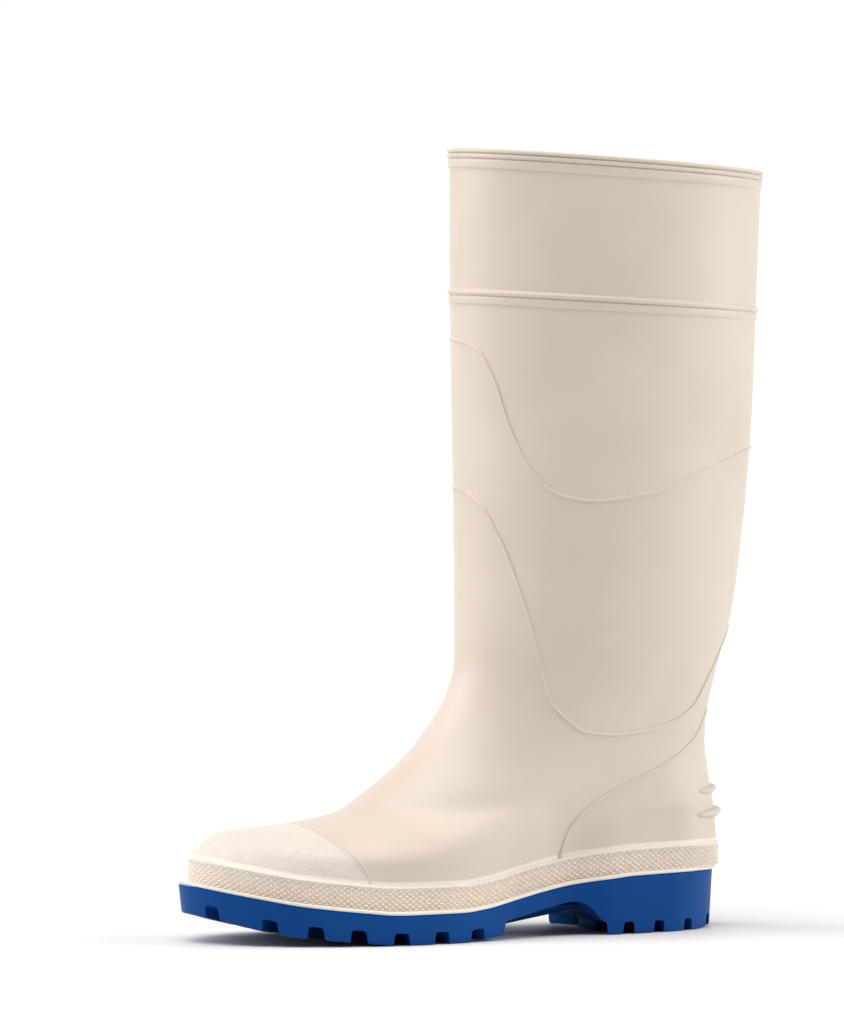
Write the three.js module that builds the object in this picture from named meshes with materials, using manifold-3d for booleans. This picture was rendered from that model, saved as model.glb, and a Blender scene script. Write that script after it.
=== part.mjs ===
// A left rubber boot: one hollow moulded upper, a lugged outsole and a loose insole.
// Toe towards -X, outer (lateral) side towards -Y, up is +Z, sizes in millimetres.
import * as THREE from 'three';
import Module from 'manifold-3d';

const wasm = await Module();
wasm.setup();

// Driving sizes
const LENGTH = 291; // outsole, heel to toe
const BALL_WIDTH = 106; // outsole at the ball
const HEIGHT = 402; // floor to the front of the collar
const COLLAR_DROP = 12; // rear of the collar below its front
const SHAFT_WIDTH = 124; // collar, side to side
const WALL = 3; // upper
const HEEL_HEIGHT = 29.5; // floor to the joint of sole and upper, at the heel
const SOLE_DRAFT = 1.6; // side wall leans in by this at the tread
const BAND_HEIGHT = 14.3; // foxing band
const BAND_STEP = 0.9; // band stands proud of the foot
const LIP_HEIGHT = 1.8; // thin welt lip over the sole
const TOE_LIP = 4.2; // lip stands out at the toe
const HEEL_LIP = 1.4; // and at the heel
const GAP = 0.3; // between neighbouring pieces
const INSOLE_THICK = 3;
const BEAD_OUT = 1.2; // round beads of the collar and the shaft stand proud of the wall
const RIM_BAND_OUT = 0.7; // flat band under the collar's beads
const MID_BAND_OUT = 0.6; // flat band under the shaft's bead
const SIDE_STEPS = 22; // columns of the upper on each side
const SOLE_STEPS = 44; // columns of the sole on each side

// Outline of the sole from above. at: share of the length from the toe; lateral and medial: share of
// the ball width, before the round ends take their part of it.
const OUTLINE = [
  { at: 0.0, lateral: 0.62, medial: 0.62 },
  { at: 0.1, lateral: 0.645, medial: 0.6 },
  { at: 0.2, lateral: 0.635, medial: 0.545 },
  { at: 0.32, lateral: 0.617, medial: 0.485 },
  { at: 0.41, lateral: 0.57, medial: 0.44 },
  { at: 0.5, lateral: 0.5, medial: 0.375 },
  { at: 0.58, lateral: 0.435, medial: 0.35 },
  { at: 0.66, lateral: 0.4, medial: 0.365 },
  { at: 0.75, lateral: 0.45, medial: 0.42 },
  { at: 0.85, lateral: 0.485, medial: 0.465 },
  { at: 0.93, lateral: 0.53, medial: 0.51 },
  { at: 1.0, lateral: 0.53, medial: 0.52 },
];

// Heights of the sole along the length, as shares of the heel height. joint: where sole and upper
// meet; web: underside between the lugs; tread: face of the lugs.
const SIDE = [
  { at: 0.0, joint: 1.0, web: 0.74, tread: 0.52 },
  { at: 0.05, joint: 0.89, web: 0.62, tread: 0.4 },
  { at: 0.1, joint: 0.79, web: 0.48, tread: 0.265 },
  { at: 0.16, joint: 0.68, web: 0.37, tread: 0.15 },
  { at: 0.26, joint: 0.565, web: 0.277, tread: 0.06 },
  { at: 0.33, joint: 0.51, web: 0.216, tread: 0.0 },
  { at: 0.45, joint: 0.51, web: 0.216, tread: 0.0 },
  { at: 0.5, joint: 0.555, web: 0.25, tread: 0.035 },
  { at: 0.545, joint: 0.635, web: 0.335, tread: 0.12 },
  { at: 0.56, joint: 0.665, web: 0.36, tread: 0.27 },
  { at: 0.63, joint: 0.8, web: 0.5, tread: 0.41 },
  { at: 0.69, joint: 0.895, web: 0.6, tread: 0.51 },
  { at: 0.715, joint: 0.925, web: 0.5, tread: 0.41 },
  { at: 0.735, joint: 0.945, web: 0.29, tread: 0.2 },
  { at: 0.747, joint: 0.955, web: 0.216, tread: 0.0 },
  { at: 0.8, joint: 1.0, web: 0.216, tread: 0.0 },
  { at: 0.93, joint: 1.02, web: 0.216, tread: 0.0 },
  { at: 1.0, joint: 1.0, web: 0.26, tread: 0.045 },
];

// Rings of the upper from the band's top edge to the collar. level: share of the way up; front and
// back: share of the length from the toe; frontRise and backRise: share of the collar's height there;
// toe, ball, waist and heel: half-width as a share of half the shaft width, before the round ends.
const RINGS = [
  [0.0, 0.019, 0.111, 1.0095, 0.1146, 1.1, 0.96, 0.7, 0.86],
  [0.03, 0.043, 0.132, 1.0075, 0.132, 0.98, 0.9, 0.66, 0.86],
  [0.08, 0.064, 0.145, 1.004, 0.151, 0.84, 0.83, 0.63, 0.84],
  [0.14, 0.1216, 0.157, 1.001, 0.167, 0.78, 0.78, 0.625, 0.84],
  [0.2, 0.2034, 0.163, 0.997, 0.183, 0.74, 0.74, 0.63, 0.82],
  [0.26, 0.285, 0.171, 0.992, 0.201, 0.71, 0.71, 0.645, 0.8],
  [0.32, 0.353, 0.195, 0.987, 0.225, 0.7, 0.7, 0.665, 0.77],
  [0.37, 0.415, 0.226, 0.984, 0.249, 0.69, 0.69, 0.69, 0.74],
  [0.42, 0.4656, 0.264, 0.9855, 0.278, 0.69, 0.7, 0.71, 0.73],
  [0.46, 0.5017, 0.303, 0.994, 0.312, 0.72, 0.74, 0.74, 0.75],
  [0.51, 0.519, 0.349, 1.01, 0.36, 0.79, 0.8, 0.8, 0.8],
  [0.57, 0.5206, 0.41, 1.031, 0.418, 0.87, 0.87, 0.87, 0.87],
  [0.63, 0.521, 0.487, 1.0455, 0.495, 0.92, 0.92, 0.92, 0.92],
  [0.7, 0.5196, 0.59, 1.06, 0.598, 0.96, 0.96, 0.96, 0.96],
  [0.78, 0.517, 0.692, 1.0695, 0.698, 0.98, 0.98, 0.98, 0.98],
  [0.87, 0.515, 0.82, 1.0755, 0.82, 1.0, 1.0, 1.0, 1.0],
  [1.0, 0.5144, 1.0, 1.085, 1.0, 1.0, 1.0, 1.0, 1.0],
].map(([level, front, frontRise, back, backRise, toe, ball, waist, heel]) => (
  { level, front, frontRise, back, backRise, toe, ball, waist, heel }));
const GIRTH_AT = { toe: 0.08, ball: 0.35, waist: 0.62, heel: 0.9 }; // where along a ring they hold

// Levels over which the foot takes leave of the sole's arch, of its bent middle line and of its outline.
const BLEND = { sag: [0, 0.46], swing: [0.1, 0.5], outline: [0, 0.14] };

// Moulded rings round the shaft. drop: below the collar's front; out: beyond the wall.
const COLLAR_RINGS = [
  { drop: 0.0, out: -1.2 }, { drop: 0.5, out: 0.9 * BEAD_OUT }, { drop: 1.8, out: BEAD_OUT },
  { drop: 2.3, out: 0.1 * BEAD_OUT }, { drop: 2.9, out: BEAD_OUT }, { drop: 4.6, out: BEAD_OUT },
  { drop: 5.1, out: 0.1 * BEAD_OUT }, { drop: 5.4, out: RIM_BAND_OUT }, { drop: 9.7, out: RIM_BAND_OUT },
  { drop: 10.2, out: 0.0 },
];
const MID_RINGS = [
  { drop: 71.8, out: 0.0 }, { drop: 72.3, out: BEAD_OUT }, { drop: 74.3, out: BEAD_OUT },
  { drop: 74.9, out: 0.1 * BEAD_OUT }, { drop: 75.3, out: MID_BAND_OUT }, { drop: 78.8, out: MID_BAND_OUT },
  { drop: 79.3, out: 0.0 },
];
const WALL_LEVELS = [
  0.003, 0.015, 0.035, 0.065, 0.1, 0.14, 0.18, 0.22, 0.26, 0.3, 0.335, 0.37, 0.405, 0.435, 0.465, 0.5,
  0.54, 0.59, 0.65, 0.72, 0.79,
];
const ABOVE_MID = 0.93; // one more level between the shaft's bead and the collar
const LINING_LEVELS = [0.0, 0.06, 0.14, 0.24, 0.33, 0.4, 0.45, 0.5, 0.58, 0.72];

// Raised lines on the upper. turn: share of the way from the front to the back round each side;
// rise: share of the collar's height.
const UPPER_LINE = [
  { turn: 0.0, rise: 0.762 }, { turn: 0.1, rise: 0.76 }, { turn: 0.185, rise: 0.748 },
  { turn: 0.234, rise: 0.709 }, { turn: 0.277, rise: 0.643 }, { turn: 0.329, rise: 0.59 },
  { turn: 0.387, rise: 0.565 }, { turn: 0.441, rise: 0.56 }, { turn: 0.549, rise: 0.571 },
  { turn: 0.693, rise: 0.605 }, { turn: 0.819, rise: 0.629 }, { turn: 1.0, rise: 0.64 },
];
const LOWER_LINE = [
  { turn: 0.0, rise: 0.568 }, { turn: 0.1, rise: 0.567 }, { turn: 0.185, rise: 0.551 },
  { turn: 0.252, rise: 0.504 }, { turn: 0.306, rise: 0.438 }, { turn: 0.365, rise: 0.352 },
  { turn: 0.396, rise: 0.317 }, { turn: 0.42, rise: 0.3 }, { turn: 0.45, rise: 0.287 },
  { turn: 0.485, rise: 0.275 }, { turn: 0.522, rise: 0.264 }, { turn: 0.585, rise: 0.26 },
  { turn: 0.648, rise: 0.264 }, { turn: 0.729, rise: 0.277 }, { turn: 0.783, rise: 0.295 },
  { turn: 0.837, rise: 0.343 }, { turn: 0.9, rise: 0.39 }, { turn: 1.0, rise: 0.41 },
];
const LINE_LEAN = 0.1; // the loops' front crest lies this share of a half turn to the medial side
// The heel counter's edge. at: share of the length; rise: share of the collar's height.
const COUNTER_LINE = [
  { at: 0.66, rise: 0.1 }, { at: 0.676, rise: 0.135 }, { at: 0.697, rise: 0.154 },
  { at: 0.74, rise: 0.1765 }, { at: 0.808, rise: 0.199 }, { at: 0.88, rise: 0.222 },
  { at: 0.937, rise: 0.249 }, { at: 0.971, rise: 0.28 },
];
// The toe cap's edge, at the ridge and at the band: share of the length, and level of the wall.
const CAP_EDGE = { ridge: 0.205, band: 0.279, ridgeLevel: 0.2, bandLevel: 0.004 };
const LINE_WIDTH = 2.4; // raised lines
const LINE_HEIGHT = 0.8;
const LINE_ROOT = 0.6; // how deep they are sunk in the wall
const LINE_STEPS = 24; // stations on each side
// Kick-off ribs at the back of the heel. rise: share of the collar's height; out: how far they stand.
const SPURS = [{ rise: 0.152, out: 4, thick: 7 }, { rise: 0.183, out: 3, thick: 6 }];
const SPUR_REACH = 0.17; // share of the half turn that a rib takes from the back

// Lugs round the edge. Each side's notches: share of the length where they meet the outline.
const FOREFOOT_NOTCHES = [0.025, 0.106, 0.179, 0.252, 0.328, 0.406, 0.48];
const FOREFOOT_END = 0.54;
const HEEL_BREAST = 0.747;
const HEEL_NOTCHES = [0.791, 0.855, 0.92, 0.98];
const NOTCH = 8; // forefoot notches
const HEEL_NOTCH = 6;
const FOREFOOT_REACH = 25; // how far edge lugs run inwards
const HEEL_REACH = 18;
const FOREFOOT_FOCUS = { at: 0.365, across: 0.62 }; // notches point here; across: past the middle line
const HEEL_FOCUS = { at: 0.833, across: 0.18 };
// Lugs along the middle. at: share of the length of the tip; facing: -1 points at the toe;
// span: half-width and sweep: tip to arm's end, as shares of the ball width; thick: arm, in mm.
const CHEVRONS = [
  { at: 0.238, facing: -1, span: 0.228, sweep: 0.2, thick: 11 },
  { at: 0.31, facing: -1, span: 0.228, sweep: 0.2, thick: 11 },
  { at: 0.379, facing: -1, span: 0.19, sweep: 0.165, thick: 11 },
  { at: 0.845, facing: 1, span: 0.12, sweep: 0.15, thick: 8 },
];
// Solid lugs as corner points. at: share of the length; across: share of the ball width from the
// middle line, mirrored to the other side.
const MIDDLE_LUGS = [
  [{ at: 0.124, across: 0.0 }, { at: 0.13, across: 0.07 }, { at: 0.15, across: 0.12 },
    { at: 0.179, across: 0.14 }],
  [{ at: 0.45, across: 0.0 }, { at: 0.497, across: 0.13 }, { at: 0.52, across: 0.115 }],
  [{ at: 0.541, across: 0.13 }, { at: 0.721, across: 0.16 }],
  [{ at: 0.76, across: 0.125 }, { at: 0.772, across: 0.1 }, { at: 0.8, across: 0.0 }],
  [{ at: 0.848, across: 0.11 }, { at: 0.878, across: 0.095 }, { at: 0.902, across: 0.055 },
    { at: 0.911, across: 0.0 }],
];
const SIDE_LUG = [{ at: 0.207, across: 0.025 }, { at: 0.209, across: 0.165 }, { at: 0.262, across: 0.19 }];

const LATERAL = -1;
const MEDIAL = 1;
const BOTH = [LATERAL, MEDIAL];

const lengthAt = (share) => (share - 0.5) * LENGTH;
const mix = (a, b, t) => a + (b - a) * t;
const ease = (a, b, t) => THREE.MathUtils.smoothstep(t, a, b);

// A smooth curve through a table's rows that keeps their rises and falls.
function curve(rows, key, column) {
  const x = rows.map((row) => row[key]);
  const y = rows.map((row) => row[column]);
  const slope = x.slice(1).map((v, i) => (y[i + 1] - y[i]) / (v - x[i]));
  const tangent = x.map((v, i) => {
    if (i === 0) return slope[0];
    if (i === x.length - 1) return slope[i - 1];
    const [a, b] = [slope[i - 1], slope[i]];
    return a * b <= 0 ? 0 : (2 * a * b) / (a + b);
  });
  return (at) => {
    const c = THREE.MathUtils.clamp(at, x[0], x[x.length - 1]);
    let i = 0;
    while (i < x.length - 2 && c > x[i + 1]) i += 1;
    const h = x[i + 1] - x[i];
    const t = (c - x[i]) / h;
    const rest = 1 - t;
    return y[i] * rest * rest * (1 + 2 * t) + h * tangent[i] * t * rest * rest
      + y[i + 1] * t * t * (3 - 2 * t) - h * tangent[i + 1] * t * t * rest;
  };
}

const outline = { [LATERAL]: curve(OUTLINE, 'at', 'lateral'), [MEDIAL]: curve(OUTLINE, 'at', 'medial') };
const sideCurve = (column) => {
  const height = curve(SIDE, 'at', column);
  return (x) => height(x / LENGTH + 0.5) * HEEL_HEIGHT;
};
const joint = sideCurve('joint');
const web = sideCurve('web');
const tread = sideCurve('tread');
const ring = Object.fromEntries(
  Object.keys(RINGS[0]).map((column) => [column, curve(RINGS, 'level', column)]));

// How far the middle line of the sole lies towards the lateral side.
function swing(x) {
  const at = THREE.MathUtils.clamp(x / LENGTH + 0.5, 0, 1);
  return (outline[LATERAL](at) - outline[MEDIAL](at)) * BALL_WIDTH * 0.5;
}

// A point of the sole's outline: angle 0 is the toe, PI the heel, then back along the medial side.
function outlinePoint(angle, front, back, inset = 0) {
  const u = (1 - Math.cos(angle)) / 2;
  const side = Math.sin(angle) >= 0 ? LATERAL : MEDIAL;
  const half = outline[side](u) * BALL_WIDTH - inset;
  return new THREE.Vector2(mix(front, back, u), -Math.sin(angle) * half);
}

// The wall of the upper at a level between the band's top edge and the collar.
function wallPoint(level, angle) {
  const u = (1 - Math.cos(angle)) / 2;
  const sin = Math.sin(angle);
  const x = mix(lengthAt(ring.front(level)), lengthAt(ring.back(level)), u);
  const rise = mix(ring.frontRise(level) * HEIGHT, ring.backRise(level) * (HEIGHT - COLLAR_DROP), u);
  const sag = joint(x) - mix(joint(lengthAt(0)), joint(lengthAt(1)), u);
  const z = rise + sag * (1 - ease(...BLEND.sag, level));
  const girth = curve(Object.entries(GIRTH_AT).map(([name, at]) => ({ at, half: ring[name](level) })),
    'at', 'half')(u) * SHAFT_WIDTH * 0.5;
  const wall = -sin * girth - Math.abs(sin) * swing(x) * (1 - ease(...BLEND.swing, level));
  const sole = outlinePoint(angle, 0, 0, TOE_LIP + BAND_STEP).y;
  return new THREE.Vector3(x, mix(sole, wall, ease(...BLEND.outline, level)), z);
}

const STEP = 1e-3;
// Which way the wall faces there.
function wallNormal(level, angle) {
  const low = Math.max(level - STEP, 0);
  const high = Math.min(level + STEP, 1);
  const up = wallPoint(high, angle).sub(wallPoint(low, angle));
  const round = wallPoint(level, angle + STEP).sub(wallPoint(level, angle - STEP));
  return round.cross(up).normalize();
}

const wallOut = (level, angle, out) => wallPoint(level, angle)
  .addScaledVector(wallNormal(level, angle), out);

const HALVINGS = 30;
// Level of the wall where its height reaches rise at that angle.
function levelAt(rise, heightOf) {
  let [low, high] = [0, 1];
  for (let i = 0; i < HALVINGS; i += 1) {
    const middle = (low + high) / 2;
    if (heightOf(middle) < rise) low = middle; else high = middle;
  }
  return (low + high) / 2;
}

const levelBelow = (drop) => levelAt(HEIGHT - drop, (level) => ring.frontRise(level) * HEIGHT);

const angleOf = (share) => Math.acos(1 - 2 * share);
// Angles from the toe to the heel along the lateral side, then back along the medial side.
const around = (half) => [...half, ...half.slice(1, -1).reverse().map((a) => 2 * Math.PI - a)];
const halfTurn = (steps) => Array.from({ length: steps + 1 }, (_, j) => (Math.PI * j) / steps);
const angles = (steps) => around(halfTurn(steps));

// A closed solid from rings of equal length that run up the outside and down the inside.
function solidOfRings(rings, closedLoop) {
  const n = rings[0].length;
  const triangles = [];
  const quad = (a, b, c, d) => triangles.push(a, b, c, a, c, d);
  const last = closedLoop ? rings.length : rings.length - 1;
  for (let i = 0; i < last; i += 1) {
    const k = (i + 1) % rings.length;
    for (let j = 0; j < n; j += 1) {
      const m = (j + 1) % n;
      quad(i * n + j, i * n + m, k * n + m, k * n + j);
    }
  }
  return { points: rings.flat(), triangles };
}

function manifoldOf({ points, triangles }) {
  return new wasm.Manifold(new wasm.Mesh({
    numProp: 3,
    vertProperties: new Float32Array(points.flatMap((p) => [p.x, p.y, p.z])),
    triVerts: new Uint32Array(triangles),
  }));
}

function geometryOf(solid) {
  const { vertProperties, triVerts, numProp } = solid.getMesh();
  const position = new Float32Array((vertProperties.length / numProp) * 3);
  for (let i = 0; i < position.length; i += 1) {
    position[i] = vertProperties[Math.floor(i / 3) * numProp + (i % 3)];
  }
  const geometry = new THREE.BufferGeometry();
  geometry.setAttribute('position', new THREE.BufferAttribute(position, 3));
  geometry.setIndex(new THREE.BufferAttribute(new Uint32Array(triVerts), 1));
  return geometry;
}

// Rings of points below the wall: welt lip and foxing band.
function bandRings() {
  const lipRing = (lift) => angles(SIDE_STEPS).map((a) => {
    const p = outlinePoint(a, lengthAt(0), lengthAt(1) + HEEL_LIP);
    return new THREE.Vector3(p.x, p.y, joint(p.x) + GAP + lift);
  });
  const bandRing = (lift) => angles(SIDE_STEPS).map((a) => {
    const p = wallOut(0, a, BAND_STEP);
    return new THREE.Vector3(p.x, p.y, joint(p.x) + GAP + lift);
  });
  return [lipRing(0), lipRing(LIP_HEIGHT), bandRing(LIP_HEIGHT), bandRing(BAND_HEIGHT)];
}

const shaftRing = ({ drop, out }) => angles(SIDE_STEPS).map((a) => wallOut(levelBelow(drop), a, out));
const wallRing = (level) => angles(SIDE_STEPS).map((a) => wallPoint(level, a));
const liningRing = (level) => angles(SIDE_STEPS).map((a) => wallOut(level, a, -WALL));

function upperShell() {
  const lining = LINING_LEVELS.map(liningRing);
  const foot = lining[0].map((p) => new THREE.Vector3(p.x, p.y, joint(p.x) + GAP));
  const rings = [
    ...bandRings(), ...WALL_LEVELS.map(wallRing),
    ...[...MID_RINGS].reverse().map(shaftRing), wallRing(ABOVE_MID),
    ...[...COLLAR_RINGS].reverse().map(shaftRing),
    liningRing(1), ...lining.reverse(), foot,
  ];
  return manifoldOf(solidOfRings(rings, true));
}

// A raised line along stations of the wall, with its foot sunk in it.
function raisedLine(stations, closedLoop, { width, height }) {
  const centre = stations.map(({ level, angle }) => wallPoint(level, angle));
  const n = stations.length;
  const sections = stations.map(({ level, angle, share = 1 }, i) => {
    const before = centre[closedLoop ? (i + n - 1) % n : Math.max(i - 1, 0)];
    const after = centre[closedLoop ? (i + 1) % n : Math.min(i + 1, n - 1)];
    const normal = wallNormal(level, angle);
    const across = normal.clone().cross(after.clone().sub(before)).normalize();
    const corner = (a, b) => centre[i].clone().addScaledVector(across, a * width)
      .addScaledVector(normal, b);
    return [corner(0.5, -LINE_ROOT), corner(0.25, height * share), corner(-0.25, height * share),
      corner(-0.5, -LINE_ROOT)];
  });
  const solid = solidOfRings(sections, closedLoop);
  if (!closedLoop) {
    const m = sections[0].length;
    const tail = (sections.length - 1) * m;
    for (let j = 1; j < m - 1; j += 1) {
      solid.triangles.push(0, j + 1, j, tail, tail + j, tail + j + 1);
    }
  }
  return manifoldOf(solid);
}

function loopLine(rows) {
  const rise = curve(rows, 'turn', 'rise');
  const stations = angles(LINE_STEPS).map((angle) => {
    const side = (angle < Math.PI ? angle : angle - 2 * Math.PI) / Math.PI;
    const turn = Math.abs(side + LINE_LEAN * (1 - Math.abs(side)));
    const tall = mix(HEIGHT, HEIGHT - COLLAR_DROP, (1 - Math.cos(angle)) / 2);
    return { angle, level: levelAt(rise(turn) * tall, (level) => wallPoint(level, angle).z) };
  });
  return raisedLine(stations, true, { width: LINE_WIDTH, height: LINE_HEIGHT });
}

// Angle of the wall at a level where it passes x.
function angleAt(level, x) {
  const [front, back] = [lengthAt(ring.front(level)), lengthAt(ring.back(level))];
  return Math.acos(THREE.MathUtils.clamp(1 - (2 * (x - front)) / (back - front), -1, 1));
}

function counterLine() {
  const rise = curve(COUNTER_LINE, 'at', 'rise');
  const [first, end] = [COUNTER_LINE[0].at, COUNTER_LINE[COUNTER_LINE.length - 1].at];
  const half = Array.from({ length: LINE_STEPS }, (_, i) => {
    const x = lengthAt(mix(first, end, Math.sin((i / LINE_STEPS) * Math.PI * 0.5)));
    const target = rise(x / LENGTH + 0.5) * HEIGHT;
    const level = levelAt(target, (l) => wallPoint(l, angleAt(l, x)).z);
    return { level, angle: angleAt(level, x) };
  });
  const other = half.map(({ level, angle }) => ({ level, angle: 2 * Math.PI - angle })).reverse();
  const back = { level: half[half.length - 1].level, angle: Math.PI };
  return raisedLine([...half, back, ...other], false, { width: LINE_WIDTH, height: LINE_HEIGHT });
}

function capLine() {
  const steps = Math.round(LINE_STEPS / 2);
  const half = Array.from({ length: steps }, (_, i) => {
    const level = mix(CAP_EDGE.bandLevel, CAP_EDGE.ridgeLevel, i / steps);
    const x = lengthAt(mix(CAP_EDGE.band, CAP_EDGE.ridge, i / steps));
    return { level, angle: angleAt(level, x) };
  });
  const other = half.map(({ level, angle }) => ({ level, angle: 2 * Math.PI - angle })).reverse();
  const ridge = { level: CAP_EDGE.ridgeLevel, angle: 0 };
  return raisedLine([...half, ridge, ...other], false, { width: LINE_WIDTH, height: LINE_HEIGHT });
}

function spur({ rise, out, thick }) {
  const steps = 12;
  const stations = Array.from({ length: steps + 1 }, (_, i) => {
    const turn = (2 * i) / steps - 1;
    const angle = Math.PI * (1 + turn * SPUR_REACH);
    const level = levelAt(rise * (HEIGHT - COLLAR_DROP), (l) => wallPoint(l, angle).z);
    return { level, angle, share: Math.cos(turn * Math.PI * 0.5) };
  });
  return raisedLine(stations, false, { width: thick, height: out });
}

function upper() {
  const lines = [loopLine(UPPER_LINE), loopLine(LOWER_LINE), counterLine(), capLine(), ...SPURS.map(spur)];
  return lines.reduce((solid, line) => solid.add(line), upperShell());
}

// Two surfaces over the outline, joined round its edge. Heights depend on x only.
function plate(half, { bottom, top, bottomPoint, topPoint }) {
  const steps = half.length - 1;
  const ringOf = (point, height) => around(half).map((a) => {
    const p = point(a);
    return new THREE.Vector3(p.x, p.y, height(p.x));
  });
  const solid = solidOfRings([ringOf(bottomPoint, bottom), ringOf(topPoint, top)], false);
  const n = 2 * steps;
  const cap = (base, flip) => {
    for (let j = 0; j < steps; j += 1) {
      const [a, b, c, d] = [j, j + 1, n - j - 1, (n - j) % n].map((k) => base + k);
      const faces = [];
      if (b !== c) faces.push([a, b, c]);
      if (a !== d) faces.push([a, c, d]);
      for (const [p, q, r] of faces) solid.triangles.push(...(flip ? [p, r, q] : [p, q, r]));
    }
  };
  cap(0, true);
  cap(n, false);
  return manifoldOf(solid);
}

const FLOOR_DEPTH = 20; // cutters reach this far below the floor
const OVERRUN = 6; // and lugs this far past the outline, before they are trimmed to it

// A straight prism over a flat outline.
function prism(points, depth) {
  return new THREE.ExtrudeGeometry(new THREE.Shape(points), { depth, bevelEnabled: false });
}

// A solid from a geometry's triangles, each corner moved by place.
function weld(geometry, place) {
  const position = geometry.getAttribute('position');
  const index = new Map();
  const points = [];
  const corner = Array.from({ length: position.count }, (_, i) => {
    const p = new THREE.Vector3().fromBufferAttribute(position, i);
    const key = [p.x, p.y, p.z].map((v) => v.toFixed(4)).join(' ');
    if (!index.has(key)) {
      index.set(key, points.length);
      points.push(place(p));
    }
    return index.get(key);
  });
  return manifoldOf({ points, triangles: corner });
}

const upright = (points) => weld(prism(points, FLOOR_DEPTH + HEEL_HEIGHT * 2),
  (p) => p.setZ(p.z - FLOOR_DEPTH));

const onSole = (at, across) => {
  const x = lengthAt(at);
  return new THREE.Vector2(x, across * BALL_WIDTH - swing(x));
};

function edgePoint(at, side) {
  const angle = angleOf(at);
  return outlinePoint(side === LATERAL ? angle : 2 * Math.PI - angle, lengthAt(0), lengthAt(1));
}

// A lug at the edge between two notches, its sides along rays to the focus.
function edgeLug(side, [from, to], [fromNotch, toNotch], reach, focus) {
  const target = onSole(focus.at, -side * focus.across);
  const flank = (at, notch, sign) => {
    const rim = edgePoint(at, side);
    const inward = target.clone().sub(rim).normalize();
    const along = new THREE.Vector2(inward.y, -inward.x).multiplyScalar(-side * sign * notch * 0.5);
    return [rim.clone().addScaledVector(inward, -OVERRUN).add(along),
      rim.clone().addScaledVector(inward, reach).add(along)];
  };
  const [a0, a1] = flank(from, fromNotch, 1);
  const [b0, b1] = flank(to, toNotch, -1);
  const points = [a0, a1, b1, b0];
  return upright(side === LATERAL ? points : points.reverse());
}

function edgeLugs(side) {
  const front = FOREFOOT_NOTCHES.map((at, i) => {
    const isLast = i === FOREFOOT_NOTCHES.length - 1;
    const next = isLast ? FOREFOOT_END : FOREFOOT_NOTCHES[i + 1];
    return edgeLug(side, [at, next], [NOTCH, isLast ? 0 : NOTCH], FOREFOOT_REACH, FOREFOOT_FOCUS);
  });
  const stops = [HEEL_BREAST, ...HEEL_NOTCHES];
  const rear = stops.slice(0, -1).map((at, i) => edgeLug(
    side, [at, stops[i + 1]], [i === 0 ? 0 : HEEL_NOTCH, HEEL_NOTCH], HEEL_REACH, HEEL_FOCUS));
  return [...front, ...rear];
}

// The lug round the tip of the toe or the back of the heel.
function tipLug(notch, at, isToe, reach, focus) {
  const end = isToe ? lengthAt(0) - OVERRUN : lengthAt(1) + OVERRUN;
  const corners = BOTH.map((side) => {
    const rim = edgePoint(at, side);
    const inward = onSole(focus.at, -side * focus.across).sub(rim).normalize();
    const along = new THREE.Vector2(isToe ? -1 : 1, 0).multiplyScalar(notch * 0.5);
    return [rim.clone().addScaledVector(inward, -OVERRUN).add(along),
      rim.clone().addScaledVector(inward, reach).add(along)];
  });
  const [[a0, a1], [b0, b1]] = corners;
  const points = [a0, a1, b1, b0, new THREE.Vector2(end, b0.y), new THREE.Vector2(end, a0.y)];
  return upright(THREE.ShapeUtils.isClockWise(points) ? points.reverse() : points);
}

function mirrored(corners) {
  const points = [LATERAL, MEDIAL].flatMap((side) => {
    const row = corners.filter((c) => side === LATERAL || c.across > 0)
      .map((c) => onSole(c.at, side * c.across));
    return side === LATERAL ? row : row.reverse();
  });
  return upright(THREE.ShapeUtils.isClockWise(points) ? points.reverse() : points);
}

function chevron({ at, facing, span, sweep, thick }) {
  const back = (facing * -sweep * BALL_WIDTH) / LENGTH;
  const arm = (facing * -thick) / LENGTH;
  const points = [onSole(at, 0), onSole(at + back, span), onSole(at + back + arm, span),
    onSole(at + arm, 0), onSole(at + back + arm, -span), onSole(at + back, -span)];
  return upright(THREE.ShapeUtils.isClockWise(points) ? points.reverse() : points);
}

function sideLug(side) {
  const points = SIDE_LUG.map(({ at, across }) => onSole(at, side * across));
  return upright(THREE.ShapeUtils.isClockWise(points) ? points.reverse() : points);
}

function lugs() {
  return [
    ...BOTH.flatMap(edgeLugs), ...BOTH.map(sideLug), ...MIDDLE_LUGS.map(mirrored),
    ...CHEVRONS.map(chevron),
    tipLug(NOTCH, FOREFOOT_NOTCHES[0], true, FOREFOOT_REACH, FOREFOOT_FOCUS),
    tipLug(HEEL_NOTCH, HEEL_NOTCHES[HEEL_NOTCHES.length - 1], false, HEEL_REACH, HEEL_FOCUS),
  ];
}

// What lies below the web between the lugs.
function treadCutter() {
  const count = 44;
  const profile = Array.from({ length: count + 1 }, (_, i) => {
    const x = mix(lengthAt(0) - 2 * OVERRUN, lengthAt(1) + 2 * OVERRUN, i / count);
    return new THREE.Vector2(x, web(x));
  });
  const points = [new THREE.Vector2(profile[0].x, -FLOOR_DEPTH / 2),
    new THREE.Vector2(profile[count].x, -FLOOR_DEPTH / 2), ...profile.reverse()];
  const slab = weld(prism(points, 2 * BALL_WIDTH),
    (p) => new THREE.Vector3(p.x, BALL_WIDTH - p.z, p.y));
  return lugs().reduce((solid, lug) => solid.subtract(lug), slab);
}

const MIN_TURN = 0.02; // the sole's columns lie no closer than this

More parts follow.
